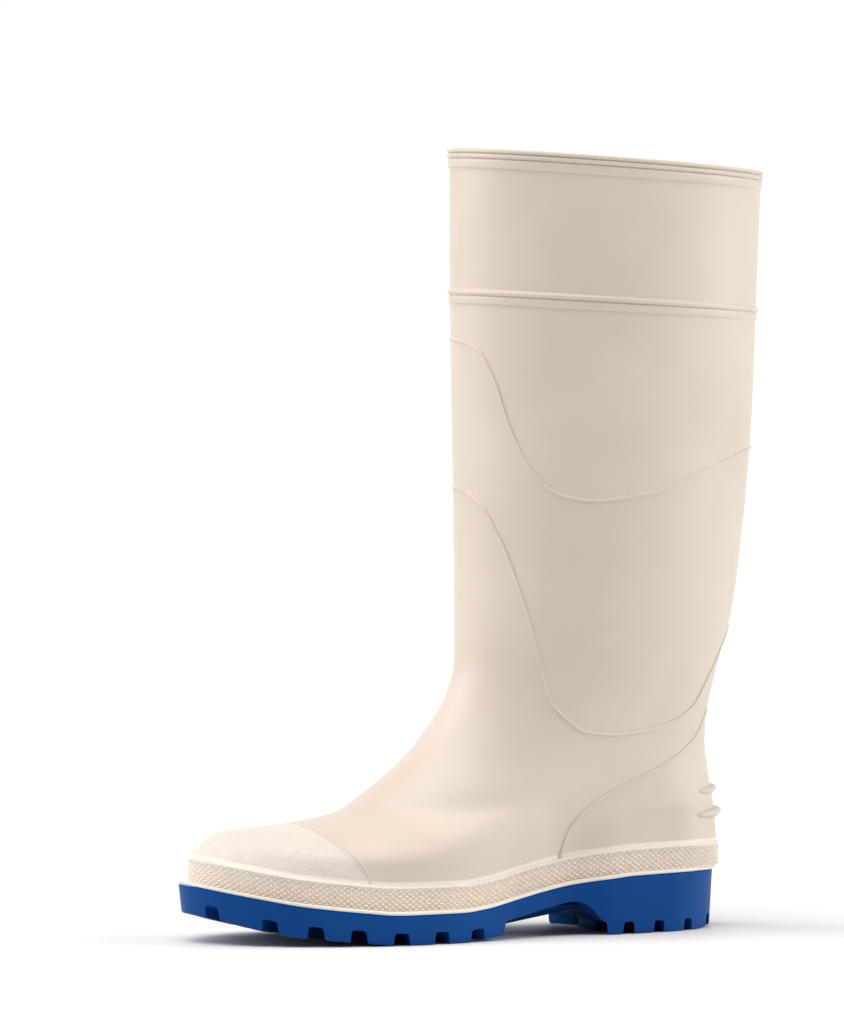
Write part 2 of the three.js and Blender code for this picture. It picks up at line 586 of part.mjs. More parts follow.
function outsole() {
  const rows = SIDE.slice(1, -1).map(({ at }) => angleOf(at));
  const close = (a) => rows.some((b) => Math.abs(a - b) < MIN_TURN);
  const half = [...halfTurn(SOLE_STEPS).filter((a) => !close(a)), ...rows].sort((a, b) => a - b);
  const full = plate(half, {
    bottom: tread,
    top: joint,
    bottomPoint: (a) => outlinePoint(a, lengthAt(0) + SOLE_DRAFT, lengthAt(1) - SOLE_DRAFT, SOLE_DRAFT),
    topPoint: (a) => outlinePoint(a, lengthAt(0), lengthAt(1)),
  });
  return full.subtract(treadCutter());
}

function insole() {
  const edge = (a) => {
    const p = wallOut(0, a, -WALL - GAP);
    return new THREE.Vector2(p.x, p.y);
  };
  return plate(halfTurn(SIDE_STEPS), {
    bottom: (x) => joint(x) + GAP,
    top: (x) => joint(x) + GAP + INSOLE_THICK,
    bottomPoint: edge,
    topPoint: edge,
  });
}

function piece(name, solid, colour, roughness) {
  const material = new THREE.MeshStandardMaterial({ color: colour, roughness });
  const mesh = new THREE.Mesh(geometryOf(solid), material);
  mesh.name = name;
  mesh.material.name = `${name}_rubber`;
  return mesh;
}

const boot = new THREE.Group();
boot.name = 'rubber_boot';
boot.add(
  piece('upper', upper(), 0xefe9dc, 0.45),
  piece('outsole', outsole(), 0x1f62b8, 0.55),
  piece('insole', insole(), 0x8f9499, 0.9),
);
// The box's middle goes over the origin.
const box = new THREE.Box3().setFromObject(boot);
const centre = box.getCenter(new THREE.Vector3());
boot.children.forEach((mesh) => mesh.geometry.translate(-centre.x, -centre.y, -box.min.z));

export default boot;
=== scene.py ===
"""Looks of the left rubber boot: camera, studio, upper, outsole, insole and their finishes.

Lengths inside the form functions are millimetres in the part's own frame: x runs from the toe to the
heel with the middle of the sole at 0, y is positive on the medial side, z is up from the floor.
"""

import logging
import math
from collections.abc import Callable
from dataclasses import dataclass, field
from enum import Enum

import bmesh
import bpy
import numpy as np
from mathutils import Euler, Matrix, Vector

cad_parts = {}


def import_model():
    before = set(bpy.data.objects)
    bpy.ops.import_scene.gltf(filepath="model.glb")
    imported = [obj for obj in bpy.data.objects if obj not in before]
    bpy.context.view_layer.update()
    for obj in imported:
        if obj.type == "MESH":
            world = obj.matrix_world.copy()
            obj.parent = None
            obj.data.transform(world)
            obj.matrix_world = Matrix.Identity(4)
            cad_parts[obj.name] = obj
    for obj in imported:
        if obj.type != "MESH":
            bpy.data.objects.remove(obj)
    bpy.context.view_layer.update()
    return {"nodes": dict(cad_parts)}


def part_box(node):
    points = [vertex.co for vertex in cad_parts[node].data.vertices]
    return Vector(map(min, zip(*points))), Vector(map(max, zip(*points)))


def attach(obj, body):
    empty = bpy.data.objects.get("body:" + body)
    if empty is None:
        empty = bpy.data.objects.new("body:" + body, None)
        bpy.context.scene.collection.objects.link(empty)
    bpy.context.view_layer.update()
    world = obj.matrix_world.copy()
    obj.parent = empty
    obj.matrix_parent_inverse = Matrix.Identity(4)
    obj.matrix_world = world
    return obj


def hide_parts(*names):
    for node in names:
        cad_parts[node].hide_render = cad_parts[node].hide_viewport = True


LOG = logging.getLogger("boot")
MM = 0.001
FRAME_W, FRAME_H = 844, 1024
HALVINGS = 30  # steps of a search by halving
SHARP = math.radians(38)  # edges of the outsole that are steeper shade as edges


class Side(Enum):
    """The two sides of the foot, with their sign along y."""

    LATERAL = -1.0
    MEDIAL = 1.0


def harmonic(a: np.ndarray, b: np.ndarray) -> np.ndarray:
    """Slope at a row: the harmonic mean of the slopes beside it, or 0 where they disagree in sign."""
    return np.where(a * b > 0, 2 * a * b / np.where(a + b == 0, 1, a + b), 0)


def hermite(values: tuple, slopes: tuple, h: np.ndarray | float, t: np.ndarray) -> np.ndarray:
    """A cubic between two rows.

    Args:
        values: What the two rows hold.
        slopes: The slopes at the two rows.
        h: Distance between the rows.
        t: Share of that distance.

    Returns:
        The value at t.
    """
    r = 1 - t
    return (
        values[0] * r * r * (1 + 2 * t) + h * slopes[0] * t * r * r
        + values[1] * t * t * (3 - 2 * t) - h * slopes[1] * t * t * r
    )


class Curve:
    """A smooth curve through a table that keeps its rises and falls."""

    def __init__(self, at: list[float], values: list[float]) -> None:
        """Works out the tangents.

        Args:
            at: Where the rows stand, rising.
            values: What each row holds.
        """
        self.x = np.array(at, dtype=float)
        self.y = np.array(values, dtype=float)
        slope = np.diff(self.y) / np.diff(self.x)
        self.tangent = np.concatenate([slope[:1], harmonic(slope[:-1], slope[1:]), slope[-1:]])

    def __call__(self, at: np.ndarray | float) -> np.ndarray:
        """Gives the values at those places, held beyond the ends."""
        c = np.clip(at, self.x[0], self.x[-1])
        i = np.clip(np.searchsorted(self.x, c, side="right") - 1, 0, len(self.x) - 2)
        h = self.x[i + 1] - self.x[i]
        values, slopes = (self.y[i], self.y[i + 1]), (self.tangent[i], self.tangent[i + 1])
        return hermite(values, slopes, h, (c - self.x[i]) / h)


def ease(low: float, high: float, t: np.ndarray | float) -> np.ndarray:
    """Goes smoothly from 0 at low to 1 at high."""
    s = np.clip((np.asarray(t, dtype=float) - low) / (high - low), 0, 1)
    return s * s * (3 - 2 * s)


@dataclass(frozen=True)
class Sizes:
    """Named sizes of the boot in millimetres, the same as in the part."""

    length: float = 291
    ball_width: float = 106
    height: float = 402
    collar_drop: float = 12
    shaft_width: float = 124
    wall: float = 3
    heel_height: float = 29.5
    sole_draft: float = 1.6
    band_height: float = 14.3
    band_step: float = 0.9
    lip_height: float = 1.8
    toe_lip: float = 4.2
    heel_lip: float = 1.4
    gap: float = 0.3


OUTLINE = (  # share of the length, then half-widths of the lateral and medial side
    (0.0, 0.62, 0.62), (0.1, 0.645, 0.6), (0.2, 0.635, 0.545), (0.32, 0.617, 0.485),
    (0.41, 0.57, 0.44), (0.5, 0.5, 0.375), (0.58, 0.435, 0.35), (0.66, 0.4, 0.365),
    (0.75, 0.45, 0.42), (0.85, 0.485, 0.465), (0.93, 0.53, 0.51), (1.0, 0.53, 0.52),
)
HEIGHTS = (  # share of the length, then joint, web and tread as shares of the heel height
    (0.0, 1.0, 0.74, 0.52), (0.05, 0.89, 0.62, 0.4), (0.1, 0.79, 0.48, 0.265),
    (0.16, 0.68, 0.37, 0.15), (0.26, 0.565, 0.277, 0.06), (0.33, 0.51, 0.216, 0.0),
    (0.45, 0.51, 0.216, 0.0), (0.5, 0.555, 0.25, 0.035), (0.545, 0.635, 0.335, 0.12),
    (0.56, 0.665, 0.36, 0.27), (0.63, 0.8, 0.5, 0.41), (0.69, 0.895, 0.6, 0.51),
    (0.715, 0.925, 0.5, 0.41), (0.735, 0.945, 0.29, 0.2), (0.747, 0.955, 0.216, 0.0),
    (0.8, 1.0, 0.216, 0.0), (0.93, 1.02, 0.216, 0.0), (1.0, 1.0, 0.26, 0.045),
)
RINGS = (  # level, front, front rise, back, back rise, then half-widths at four places
    (0.0, 0.019, 0.111, 1.0095, 0.1146, 1.1, 0.96, 0.7, 0.86),
    (0.03, 0.043, 0.132, 1.0075, 0.132, 0.98, 0.9, 0.66, 0.86),
    (0.08, 0.064, 0.145, 1.004, 0.151, 0.84, 0.83, 0.63, 0.84),
    (0.14, 0.1216, 0.157, 1.001, 0.167, 0.78, 0.78, 0.625, 0.84),
    (0.2, 0.2034, 0.163, 0.997, 0.183, 0.74, 0.74, 0.63, 0.82),
    (0.26, 0.285, 0.171, 0.992, 0.201, 0.71, 0.71, 0.645, 0.8),
    (0.32, 0.353, 0.195, 0.987, 0.225, 0.7, 0.7, 0.665, 0.77),
    (0.37, 0.415, 0.226, 0.984, 0.249, 0.69, 0.69, 0.69, 0.74),
    (0.42, 0.4656, 0.264, 0.9855, 0.278, 0.69, 0.7, 0.71, 0.73),
    (0.46, 0.5017, 0.303, 0.994, 0.312, 0.72, 0.74, 0.74, 0.75),
    (0.51, 0.519, 0.349, 1.01, 0.36, 0.79, 0.8, 0.8, 0.8),
    (0.57, 0.5206, 0.41, 1.031, 0.418, 0.87, 0.87, 0.87, 0.87),
    (0.63, 0.521, 0.487, 1.0455, 0.495, 0.92, 0.92, 0.92, 0.92),
    (0.7, 0.5196, 0.59, 1.06, 0.598, 0.96, 0.96, 0.96, 0.96),
    (0.78, 0.517, 0.692, 1.0695, 0.698, 0.98, 0.98, 0.98, 0.98),
    (0.87, 0.515, 0.82, 1.0755, 0.82, 1.0, 1.0, 1.0, 1.0),
    (1.0, 0.5144, 1.0, 1.085, 1.0, 1.0, 1.0, 1.0, 1.0),
)
GIRTH_AT = (0.08, 0.35, 0.62, 0.9)  # where along a ring its half-widths hold


class Last:
    """The form of the foot and leg that the upper, sole and insole all follow."""

    def __init__(self, sizes: Sizes) -> None:
        """Makes the curves of the tables.

        Args:
            sizes: The boot's named sizes.
        """
        self.s = sizes
        self.half = {
            Side.LATERAL: Curve([r[0] for r in OUTLINE], [r[1] for r in OUTLINE]),
            Side.MEDIAL: Curve([r[0] for r in OUTLINE], [r[2] for r in OUTLINE]),
        }
        self.heights = [Curve([r[0] for r in HEIGHTS], [r[k] for r in HEIGHTS]) for k in (1, 2, 3)]
        self.ring = [Curve([r[0] for r in RINGS], [r[k] for r in RINGS]) for k in range(1, 9)]

    def at(self, share: np.ndarray | float) -> np.ndarray:
        """Turns a share of the length into x."""
        return (np.asarray(share) - 0.5) * self.s.length

    def _height(self, k: int, x: np.ndarray) -> np.ndarray:
        """Reads one column of the sole's heights at x."""
        return self.heights[k](x / self.s.length + 0.5) * self.s.heel_height

    def joint(self, x: np.ndarray) -> np.ndarray:
        """Height where sole and upper meet."""
        return self._height(0, x)

    def web(self, x: np.ndarray) -> np.ndarray:
        """Height of the underside between the lugs."""
        return self._height(1, x)

    def tread(self, x: np.ndarray) -> np.ndarray:
        """Height of the lugs' faces."""
        return self._height(2, x)

    def under(self, x: np.ndarray, share: float) -> np.ndarray:
        """Height that far from the web, 0, to the lugs' faces, 1."""
        return self.web(x) * (1 - share) + self.tread(x) * share

    def swing(self, x: np.ndarray) -> np.ndarray:
        """How far the sole's middle line lies towards the lateral side."""
        u = np.clip(x / self.s.length + 0.5, 0, 1)
        return (self.half[Side.LATERAL](u) - self.half[Side.MEDIAL](u)) * self.s.ball_width * 0.5

    def outline(self, angle: np.ndarray, front: float, back: float, inset: np.ndarray | float = 0) -> tuple:
        """A point of the sole's outline.

        Args:
            angle: 0 at the toe, pi at the heel, then back along the medial side.
            front: x of the toe's tip.
            back: x of the heel's back.
            inset: How far both sides come in.

        Returns:
            x and y.
        """
        u = (1 - np.cos(angle)) / 2
        sin = np.sin(angle)
        share = np.where(sin >= 0, self.half[Side.LATERAL](u), self.half[Side.MEDIAL](u))
        return front + (back - front) * u, -sin * (share * self.s.ball_width - inset)

    def wall(self, level: np.ndarray, angle: np.ndarray) -> np.ndarray:
        """Points of the upper's outer wall.

        Args:
            level: 0 at the top of the foxing band, 1 at the collar.
            angle: As for the outline.

        Returns:
            An array whose last axis holds x, y and z.
        """
        level, angle = np.broadcast_arrays(np.asarray(level, float), np.asarray(angle, float))
        front, front_rise, back, back_rise, *girths = [c(level) for c in self.ring]
        u = (1 - np.cos(angle)) / 2
        sin = np.sin(angle)
        x = self.at(front) + (self.at(back) - self.at(front)) * u
        low, high = front_rise * self.s.height, back_rise * (self.s.height - self.s.collar_drop)
        toe, heel = self.joint(self.at(0.0)), self.joint(self.at(1.0))
        sag = self.joint(x) - (toe + (heel - toe) * u)
        z = low + (high - low) * u + sag * (1 - ease(0, 0.46, level))
        girth = self._girth(np.stack(girths), u) * self.s.shaft_width * 0.5
        side = -sin * girth - np.abs(sin) * self.swing(x) * (1 - ease(0.1, 0.5, level))
        sole = self.outline(angle, 0, 0, self.s.toe_lip + self.s.band_step)[1]
        return np.stack([x, sole + (side - sole) * ease(0, 0.14, level), z], axis=-1)

    @staticmethod
    def _girth(rows: np.ndarray, u: np.ndarray) -> np.ndarray:
        """Half-width along a ring, a smooth curve through its four places."""
        x = np.array(GIRTH_AT)
        slope = [(rows[i + 1] - rows[i]) / (x[i + 1] - x[i]) for i in range(3)]
        tangent = [slope[0], harmonic(slope[0], slope[1]), harmonic(slope[1], slope[2]), slope[2]]
        c = np.clip(u, x[0], x[-1])
        out = np.zeros_like(c)
        for i in range(3):
            h = x[i + 1] - x[i]
            value = hermite((rows[i], rows[i + 1]), (tangent[i], tangent[i + 1]), h, (c - x[i]) / h)
            out = np.where((c >= x[i]) & ((c < x[i + 1]) | (i == 2)), value, out)
        return out

    def normal(self, level: np.ndarray, angle: np.ndarray) -> np.ndarray:
        """Which way the outer wall faces there."""
        step = 1e-3
        level = np.asarray(level, float)
        up = self.wall(np.minimum(level + step, 1), angle) - self.wall(np.maximum(level - step, 0), angle)
        along = self.wall(level, angle + step) - self.wall(level, angle - step)
        n = np.cross(along, up)
        return n / np.linalg.norm(n, axis=-1, keepdims=True)

    def out(self, level: np.ndarray, angle: np.ndarray, out: np.ndarray | float) -> np.ndarray:
        """Points off the outer wall, outwards where out is positive."""
        return self.wall(level, angle) + self.normal(level, angle) * np.asarray(out)[..., None]

    def level_at(self, rise: np.ndarray, angle: np.ndarray) -> np.ndarray:
        """Level of the wall whose height is rise at that angle."""
        low, high = np.zeros_like(angle), np.ones_like(angle)
        for _ in range(HALVINGS):
            middle = (low + high) / 2
            below = self.wall(middle, angle)[..., 2] < rise
            low, high = np.where(below, middle, low), np.where(below, high, middle)
        return (low + high) / 2

    def level_below(self, drop: float) -> float:
        """Level whose front lies that far below the collar's front."""
        low, high = 0.0, 1.0
        for _ in range(HALVINGS):
            middle = (low + high) / 2
            if self.ring[1](middle) * self.s.height < self.s.height - drop:
                low = middle
            else:
                high = middle
        return (low + high) / 2

    def angle_at(self, level: np.ndarray, x: np.ndarray) -> np.ndarray:
        """Angle at which the wall passes x at a level, on the lateral side."""
        front, back = self.at(self.ring[0](level)), self.at(self.ring[2](level))
        return np.arccos(np.clip(1 - 2 * (x - front) / (back - front), -1, 1))

    def even_angles(self, count: int) -> np.ndarray:
        """Angles that divide the band's outline evenly, the first at the toe."""
        fine = np.linspace(0, 2 * math.pi, 4001)
        p = self.wall(0.0, fine)
        run = np.concatenate([[0], np.cumsum(np.linalg.norm(np.diff(p, axis=0), axis=1))])
        return np.interp(np.arange(count) * run[-1] / count, run, fine)


class Value:
    """Wraps a shader socket, so that maths on it is written as an expression."""

    def __init__(self, shader: "Shader", socket: bpy.types.NodeSocket) -> None:
        """Keeps the material and the socket."""
        self.shader = shader
        self.socket = socket

    def _math(self, operation: str, a: "Value | float", b: "Value | float") -> "Value":
        """Adds a Math node."""
        return self.shader.node("ShaderNodeMath", {"operation": operation}, {0: a, 1: b})

    def __add__(self, other: "Value | float") -> "Value":
        """self + other."""
        return self._math("ADD", self, other)

    __radd__ = __add__

    def __sub__(self, other: "Value | float") -> "Value":
        """self - other."""
        return self._math("SUBTRACT", self, other)

    def __rsub__(self, other: float) -> "Value":
        """other - self."""
        return self._math("SUBTRACT", other, self)

    def __mul__(self, other: "Value | float") -> "Value":
        """self * other."""
        return self._math("MULTIPLY", self, other)

    __rmul__ = __mul__

    def ramp(self, low: float, high: float) -> "Value":
        """0 below low and 1 above high, smooth between."""
        inputs = {0: self, 1: low, 2: high, 3: 0.0, 4: 1.0}
        return self.shader.node("ShaderNodeMapRange", {"interpolation_type": "SMOOTHSTEP"}, inputs)


class Shader:
    """A material with one Principled BSDF and helpers for what feeds it."""

    def __init__(self, name: str) -> None:
        """Makes the material.

        Args:
            name: The material's name.
        """
        self.material = bpy.data.materials.new(name)
        self.material.use_nodes = True
        self.tree = self.material.node_tree
        self.bsdf = next(n for n in self.tree.nodes if n.type == "BSDF_PRINCIPLED")

    def node(self, kind: str, settings: dict, inputs: dict, output: int | str = 0) -> Value:
        """Adds a node.

        Args:
            kind: The node's type.
            settings: Its properties, set first.
            inputs: A value or a link for each named or numbered socket.
            output: Which output to give back.

        Returns:
            That output.
        """
        node = self.tree.nodes.new(kind)
        for key, value in settings.items():
            setattr(node, key, value)
        for key, value in inputs.items():
            self._feed(node.inputs[key], value)
        return Value(self, node.outputs[output])

    def _feed(self, socket: bpy.types.NodeSocket, value: object) -> None:
        """Links a Value to a socket, or sets the socket's own number."""
        if isinstance(value, Value):
            self.tree.links.new(value.socket, socket)
        else:
            socket.default_value = value

    def feed(self, **inputs: object) -> None:
        """Feeds the Principled BSDF; an underscore stands for a space."""
        for key, value in inputs.items():
            self._feed(self.bsdf.inputs[key.replace("_", " ")], value)

    def place(self) -> Value:
        """Object coordinates."""
        return self.node("ShaderNodeTexCoord", {}, {}, "Object")

    def axis(self, place: Value, name: str) -> Value:
        """One axis of a vector, in millimetres."""
        return self.node("ShaderNodeSeparateXYZ", {}, {0: place}, name) * 1000.0

    def noise(self, place: Value, size: float, detail: float = 3.0) -> Value:
        """Noise from 0 to 1 whose features are about size millimetres."""
        inputs = {"Vector": place, "Scale": 1000.0 / size, "Detail": detail}
        return self.node("ShaderNodeTexNoise", {}, inputs)

    def cells(self, place: Value, size: float) -> Value:
        """Distance to the nearest cell border, for leathery grain."""
        inputs = {"Vector": place, "Scale": 1000.0 / size}
        return self.node("ShaderNodeTexVoronoi", {"feature": "DISTANCE_TO_EDGE"}, inputs)

    def mix(self, share: Value, a: "tuple | Value", b: "tuple | Value") -> Value:
        """Mixes two colours."""
        a, b = ((*c, 1.0) if isinstance(c, tuple) else c for c in (a, b))
        return self.node("ShaderNodeMix", {"data_type": "RGBA"}, {0: share, 6: a, 7: b}, 2)

    def bump(self, height: Value, depth: float, strength: float = 1.0) -> None:
        """Feeds the normal from a height of 0 to 1, depth in millimetres."""
        bump = self.node(
            "ShaderNodeBump", {}, {"Height": height, "Distance": depth * MM, "Strength": strength}, "Normal"
        )
        self.feed(Normal=bump)


@dataclass(frozen=True)
class Finish:
    """A finish: its colour and how it shines."""

    name: str
    colour: tuple[float, float, float]
    shade: tuple[float, float, float]
    roughness: float
    coat: float = 0.0
    coat_roughness: float = 0.3
    specular: float = 0.5

    def start(self) -> Shader:
        """Makes the material with its constant sockets set."""
        shader = Shader(self.name)
        shader.feed(Roughness=self.roughness, Coat_Weight=self.coat, Coat_Roughness=self.coat_roughness)
        shader.feed(Specular_IOR_Level=self.specular, Base_Color=(*self.colour, 1.0))
        return shader


IVORY = Finish("ivory_rubber", (0.685, 0.588, 0.493), (0.655, 0.558, 0.464), 0.48, 0.16, 0.38)
BLUE = Finish("blue_rubber", (0.0008, 0.063, 0.262), (0.0008, 0.056, 0.238), 0.46, 0.0, 0.3, 0.1)
# the lip and foxing band: the same ivory rubber painted paler, painted light standing in for light bounced
# up from the floor
BAND_PAINTED_LIGHT = Finish("ivory_band_painted_light", (0.84, 0.75, 0.65), (0.8, 0.71, 0.615), 0.48, 0.1, 0.35)
FLASH = Finish("sole_flash", (0.6, 0.72, 0.74), (0.55, 0.68, 0.72), 0.4, 0.1, 0.3)
LINING = Finish("knit_lining", (0.62, 0.59, 0.53), (0.55, 0.52, 0.47), 0.9, 0.0, 0.3, 0.2)
FELT = Finish("insole_felt", (0.30, 0.31, 0.32), (0.24, 0.25, 0.26), 0.95, 0.0, 0.3, 0.2)
CAP_PAINTED_LIGHT = (0.77, 0.69, 0.605)  # the grained toe cap, painted paler than the shaft: painted light for the brighter light on the toe


class Skin(Enum):
    """What a rubber surface looks like close to."""

    SMOOTH = "smooth"
    GRAIN = "grain"


def rubber(finish: Finish, skin: Skin, cap: tuple[float, float, float] | None = None) -> bpy.types.Material:
    """Makes a rubber material.

    Args:
        finish: Its colour and shine.
        skin: Smooth, or grained all over.
        cap: For the upper: x of the toe cap's edge at the ridge, how much further back it lies for each
            millimetre down, and the ridge's height. In front of it the skin is grained, and its colour is
            painted paler: painted light on the toe.

    Returns:
        The material.
    """
    shader = finish.start()
    place = shader.place()
    colour = shader.mix(shader.noise(place, 60, 2.0).ramp(0.35, 0.65), finish.colour, finish.shade)
    shader.feed(Roughness=shader.noise(place, 25, 3.0) * 0.08 + (finish.roughness - 0.04))
    fine = shader.noise(place, 1.4, 4.0) * 0.16
    if cap is not None:
        x, z = shader.axis(place, "X"), shader.axis(place, "Z")
        edge_x, slope, ridge_z = cap
        front = 1.0 - (x + (z - ridge_z) * slope).ramp(edge_x - 0.6, edge_x + 0.6)
        grain = shader.cells(place, 1.3).ramp(0.0, 0.35) + shader.noise(place, 0.7, 2.0) * 0.7
        # in front of the cap's edge the colour is painted paler: painted light standing in for the brighter
        # light on the toe
        colour = shader.mix(front, colour, CAP_PAINTED_LIGHT)
        shader.bump(fine * 0.4 + grain * front, 0.22)
    elif skin is Skin.GRAIN:
        shader.bump(shader.cells(place, 2.4).ramp(0.0, 0.2) + shader.noise(place, 1.0, 2.0) * 0.5, 0.3)
    else:
        shader.bump(fine, 0.1)
    shader.feed(Base_Color=colour)
    return shader.material


def cloth(finish: Finish, pitch: float) -> bpy.types.Material:
    """Makes a knitted or felted cloth.

    Args:
        finish: Its colour and shine.
        pitch: Size of its stitches in millimetres.

    Returns:
        The material.
    """
    shader = finish.start()
    place = shader.place()
    loops = shader.noise(place, pitch, 4.0)
    shader.feed(Base_Color=shader.mix(loops.ramp(0.3, 0.7), finish.shade, finish.colour))
    shader.bump(loops, 0.3)
    return shader.material


def grid(
    points: np.ndarray,
    close_rows: bool,
    close_columns: bool,
    bands: list[tuple] | None = None,
    split: np.ndarray | None = None,
) -> bmesh.types.BMesh:
    """Lays a bmesh grid over an array of points.

    Args:
        points: Rows, columns, xyz in millimetres. The face turns towards columns x rows.
        close_rows: Whether the last row joins the first.
        close_columns: Whether the last column joins the first.
        bands: (first row, end row, material index, smooth) of faces that differ from index 0, smooth.
        split: True at the points that edges join across the quads.

    Returns:
        The bmesh, with doubles merged.
    """
    joined = []
    if close_columns:
        points = np.concatenate([points, points[:, :1]], axis=1)
        split = None if split is None else np.concatenate([split, split[:, :1]], axis=1)
    if close_rows:
        points = np.concatenate([points, points[:1]], axis=0)
    rows, columns = points.shape[0] - 1, points.shape[1] - 1
    bm = bmesh.new()
    bmesh.ops.create_grid(bm, x_segments=columns, y_segments=rows, size=1)
    look = [(0, True)] * rows
    for first, end, index, smooth in bands or []:
        look[first:end] = [(index, smooth)] * (end - first)
    for face in bm.faces:
        row = int((face.calc_center_median().y + 1) / 2 * rows)
        face.material_index, face.smooth = look[row]
    for vert in bm.verts:
        i, j = round((vert.co.y + 1) / 2 * rows), round((vert.co.x + 1) / 2 * columns)
        vert.co = points[i, j] * MM
        if split is not None and i < len(split) and split[i, j]:
            joined.append(vert)
    if joined:
        bmesh.ops.connect_verts(bm, verts=joined)
    bmesh.ops.remove_doubles(bm, verts=bm.verts, dist=1e-8)
    return bm


def cap(bm: bmesh.types.BMesh) -> list[bmesh.types.BMFace]:
    """Closes each open loop of a bmesh with one flat-shaded face.

    Args:
        bm: The bmesh.

    Returns:
        The new faces.
    """
    open_edges = {e for e in bm.edges if e.is_boundary}
    caps = []
    while open_edges:
        ring, ends = [], [open_edges.pop()]
        while ends:
            edge = ends.pop()
            ring.append(edge)
            near = [e for vert in edge.verts for e in vert.link_edges if e in open_edges]
            open_edges.difference_update(near)
            ends += near
        caps += bmesh.ops.contextual_create(bm, geom=ring)["faces"]
    for face in caps:
        face.smooth = False
        face.normal_update()
    return caps


def raised(flat: np.ndarray, z: np.ndarray) -> np.ndarray:
    """Gives flat points their heights."""
    return np.concatenate([flat, z[:, None]], axis=1)


def finish_piece(
    name: str, parts: list[bmesh.types.BMesh], materials: list[bpy.types.Material]
) -> bpy.types.Object:
    """Joins bmeshes into one piece that rides on the boot.

    Args:
        name: The piece's name.
        parts: The bmeshes, which are freed.
        materials: Its materials by index.

    Returns:
        The object.
    """
    whole = bmesh.new()
    for part in parts:
        scratch = bpy.data.meshes.new("scratch")
        part.to_mesh(scratch)
        whole.from_mesh(scratch)
        part.free()
        bpy.data.meshes.remove(scratch)
    mesh = bpy.data.meshes.new(name)
    whole.to_mesh(mesh)
    whole.free()
    piece = bpy.data.objects.new(name, mesh)
    bpy.context.scene.collection.objects.link(piece)
    for material in materials:
        mesh.materials.append(material)
    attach(piece, "root")
    LOG.info("%s: %d faces", name, len(mesh.polygons))
    return piece


LIP_PROFILE = ((1.2, 0.0), (0.35, 0.1), (0.0, 0.45), (0.0, 1.3), (0.3, 1.65), (1.0, 1.8))  # in, up
RIM_PROFILE = (  # below the collar's front, beyond the wall
    (0.9, -3.0), (0.3, -2.7), (0.0, -2.0), (0.0, -0.5), (0.15, 0.5), (0.5, 1.1), (1.1, 1.35), (1.7, 1.15),
    (2.15, 0.55), (2.35, -0.1), (2.6, 0.5), (3.0, 1.1), (3.7, 1.35), (4.4, 1.15), (4.9, 0.5), (5.15, -0.15),
    (5.4, 0.6), (5.6, 0.78), (7.5, 0.78), (9.5, 0.78), (9.75, 0.7), (9.9, 0.05), (10.3, 0.0),
)
MID_PROFILE = (  # the same, for the ring pair round the shaft
    (71.6, 0.0), (71.9, 0.1), (72.2, 0.6), (72.8, 1.15), (73.5, 1.3), (74.2, 1.1), (74.7, 0.5),
    (75.0, -0.1), (75.3, 0.5), (75.6, 0.68), (77.2, 0.68), (78.9, 0.68), (79.15, 0.6), (79.3, 0.04),
    (79.8, 0.0),
)
UPPER_LINE = (  # share of a half turn from the front, then of the height
    (0.0, 0.757), (0.1, 0.756), (0.185, 0.746), (0.234, 0.709), (0.277, 0.643), (0.329, 0.59),
    (0.387, 0.565), (0.441, 0.56), (0.549, 0.571), (0.693, 0.605), (0.819, 0.629), (1.0, 0.64),
)
LOWER_LINE = (
    (0.0, 0.568), (0.1, 0.567), (0.185, 0.551), (0.252, 0.504), (0.306, 0.438), (0.365, 0.352),
    (0.396, 0.317), (0.42, 0.3), (0.45, 0.287), (0.485, 0.275), (0.522, 0.264), (0.585, 0.26),
    (0.648, 0.264), (0.729, 0.277), (0.783, 0.295), (0.837, 0.343), (0.9, 0.39), (1.0, 0.41),
)
BAND_EDGE = (  # below the band's top edge, beyond the band
    (-1.5, -0.3), (-1.3, 0.15), (-0.9, 0.35), (-0.45, 0.2), (-0.15, -0.2), (0.0, -0.9),
)
RIB_PROFILE = (  # shares of the rib's thickness and depth, from its underside up
    (0.5, 0.0), (0.44, 0.25), (0.36, 0.62), (0.24, 0.9), (0.1, 1.0), (-0.06, 0.93), (-0.2, 0.68),
    (-0.34, 0.36), (-0.5, 0.0),
)
LINE_LEAN = 0.1  # the loops' front crest lies this share of a half turn to the medial side
COUNTER_LINE = (  # share of the length, then of the height
    (0.66, 0.1), (0.676, 0.135), (0.697, 0.154), (0.74, 0.1765), (0.808, 0.199), (0.88, 0.222),
    (0.937, 0.249), (0.971, 0.28),
)
CAP_EDGE = (0.279, 0.205, 0.2)  # share of the length at the band and at the ridge, and the ridge's level


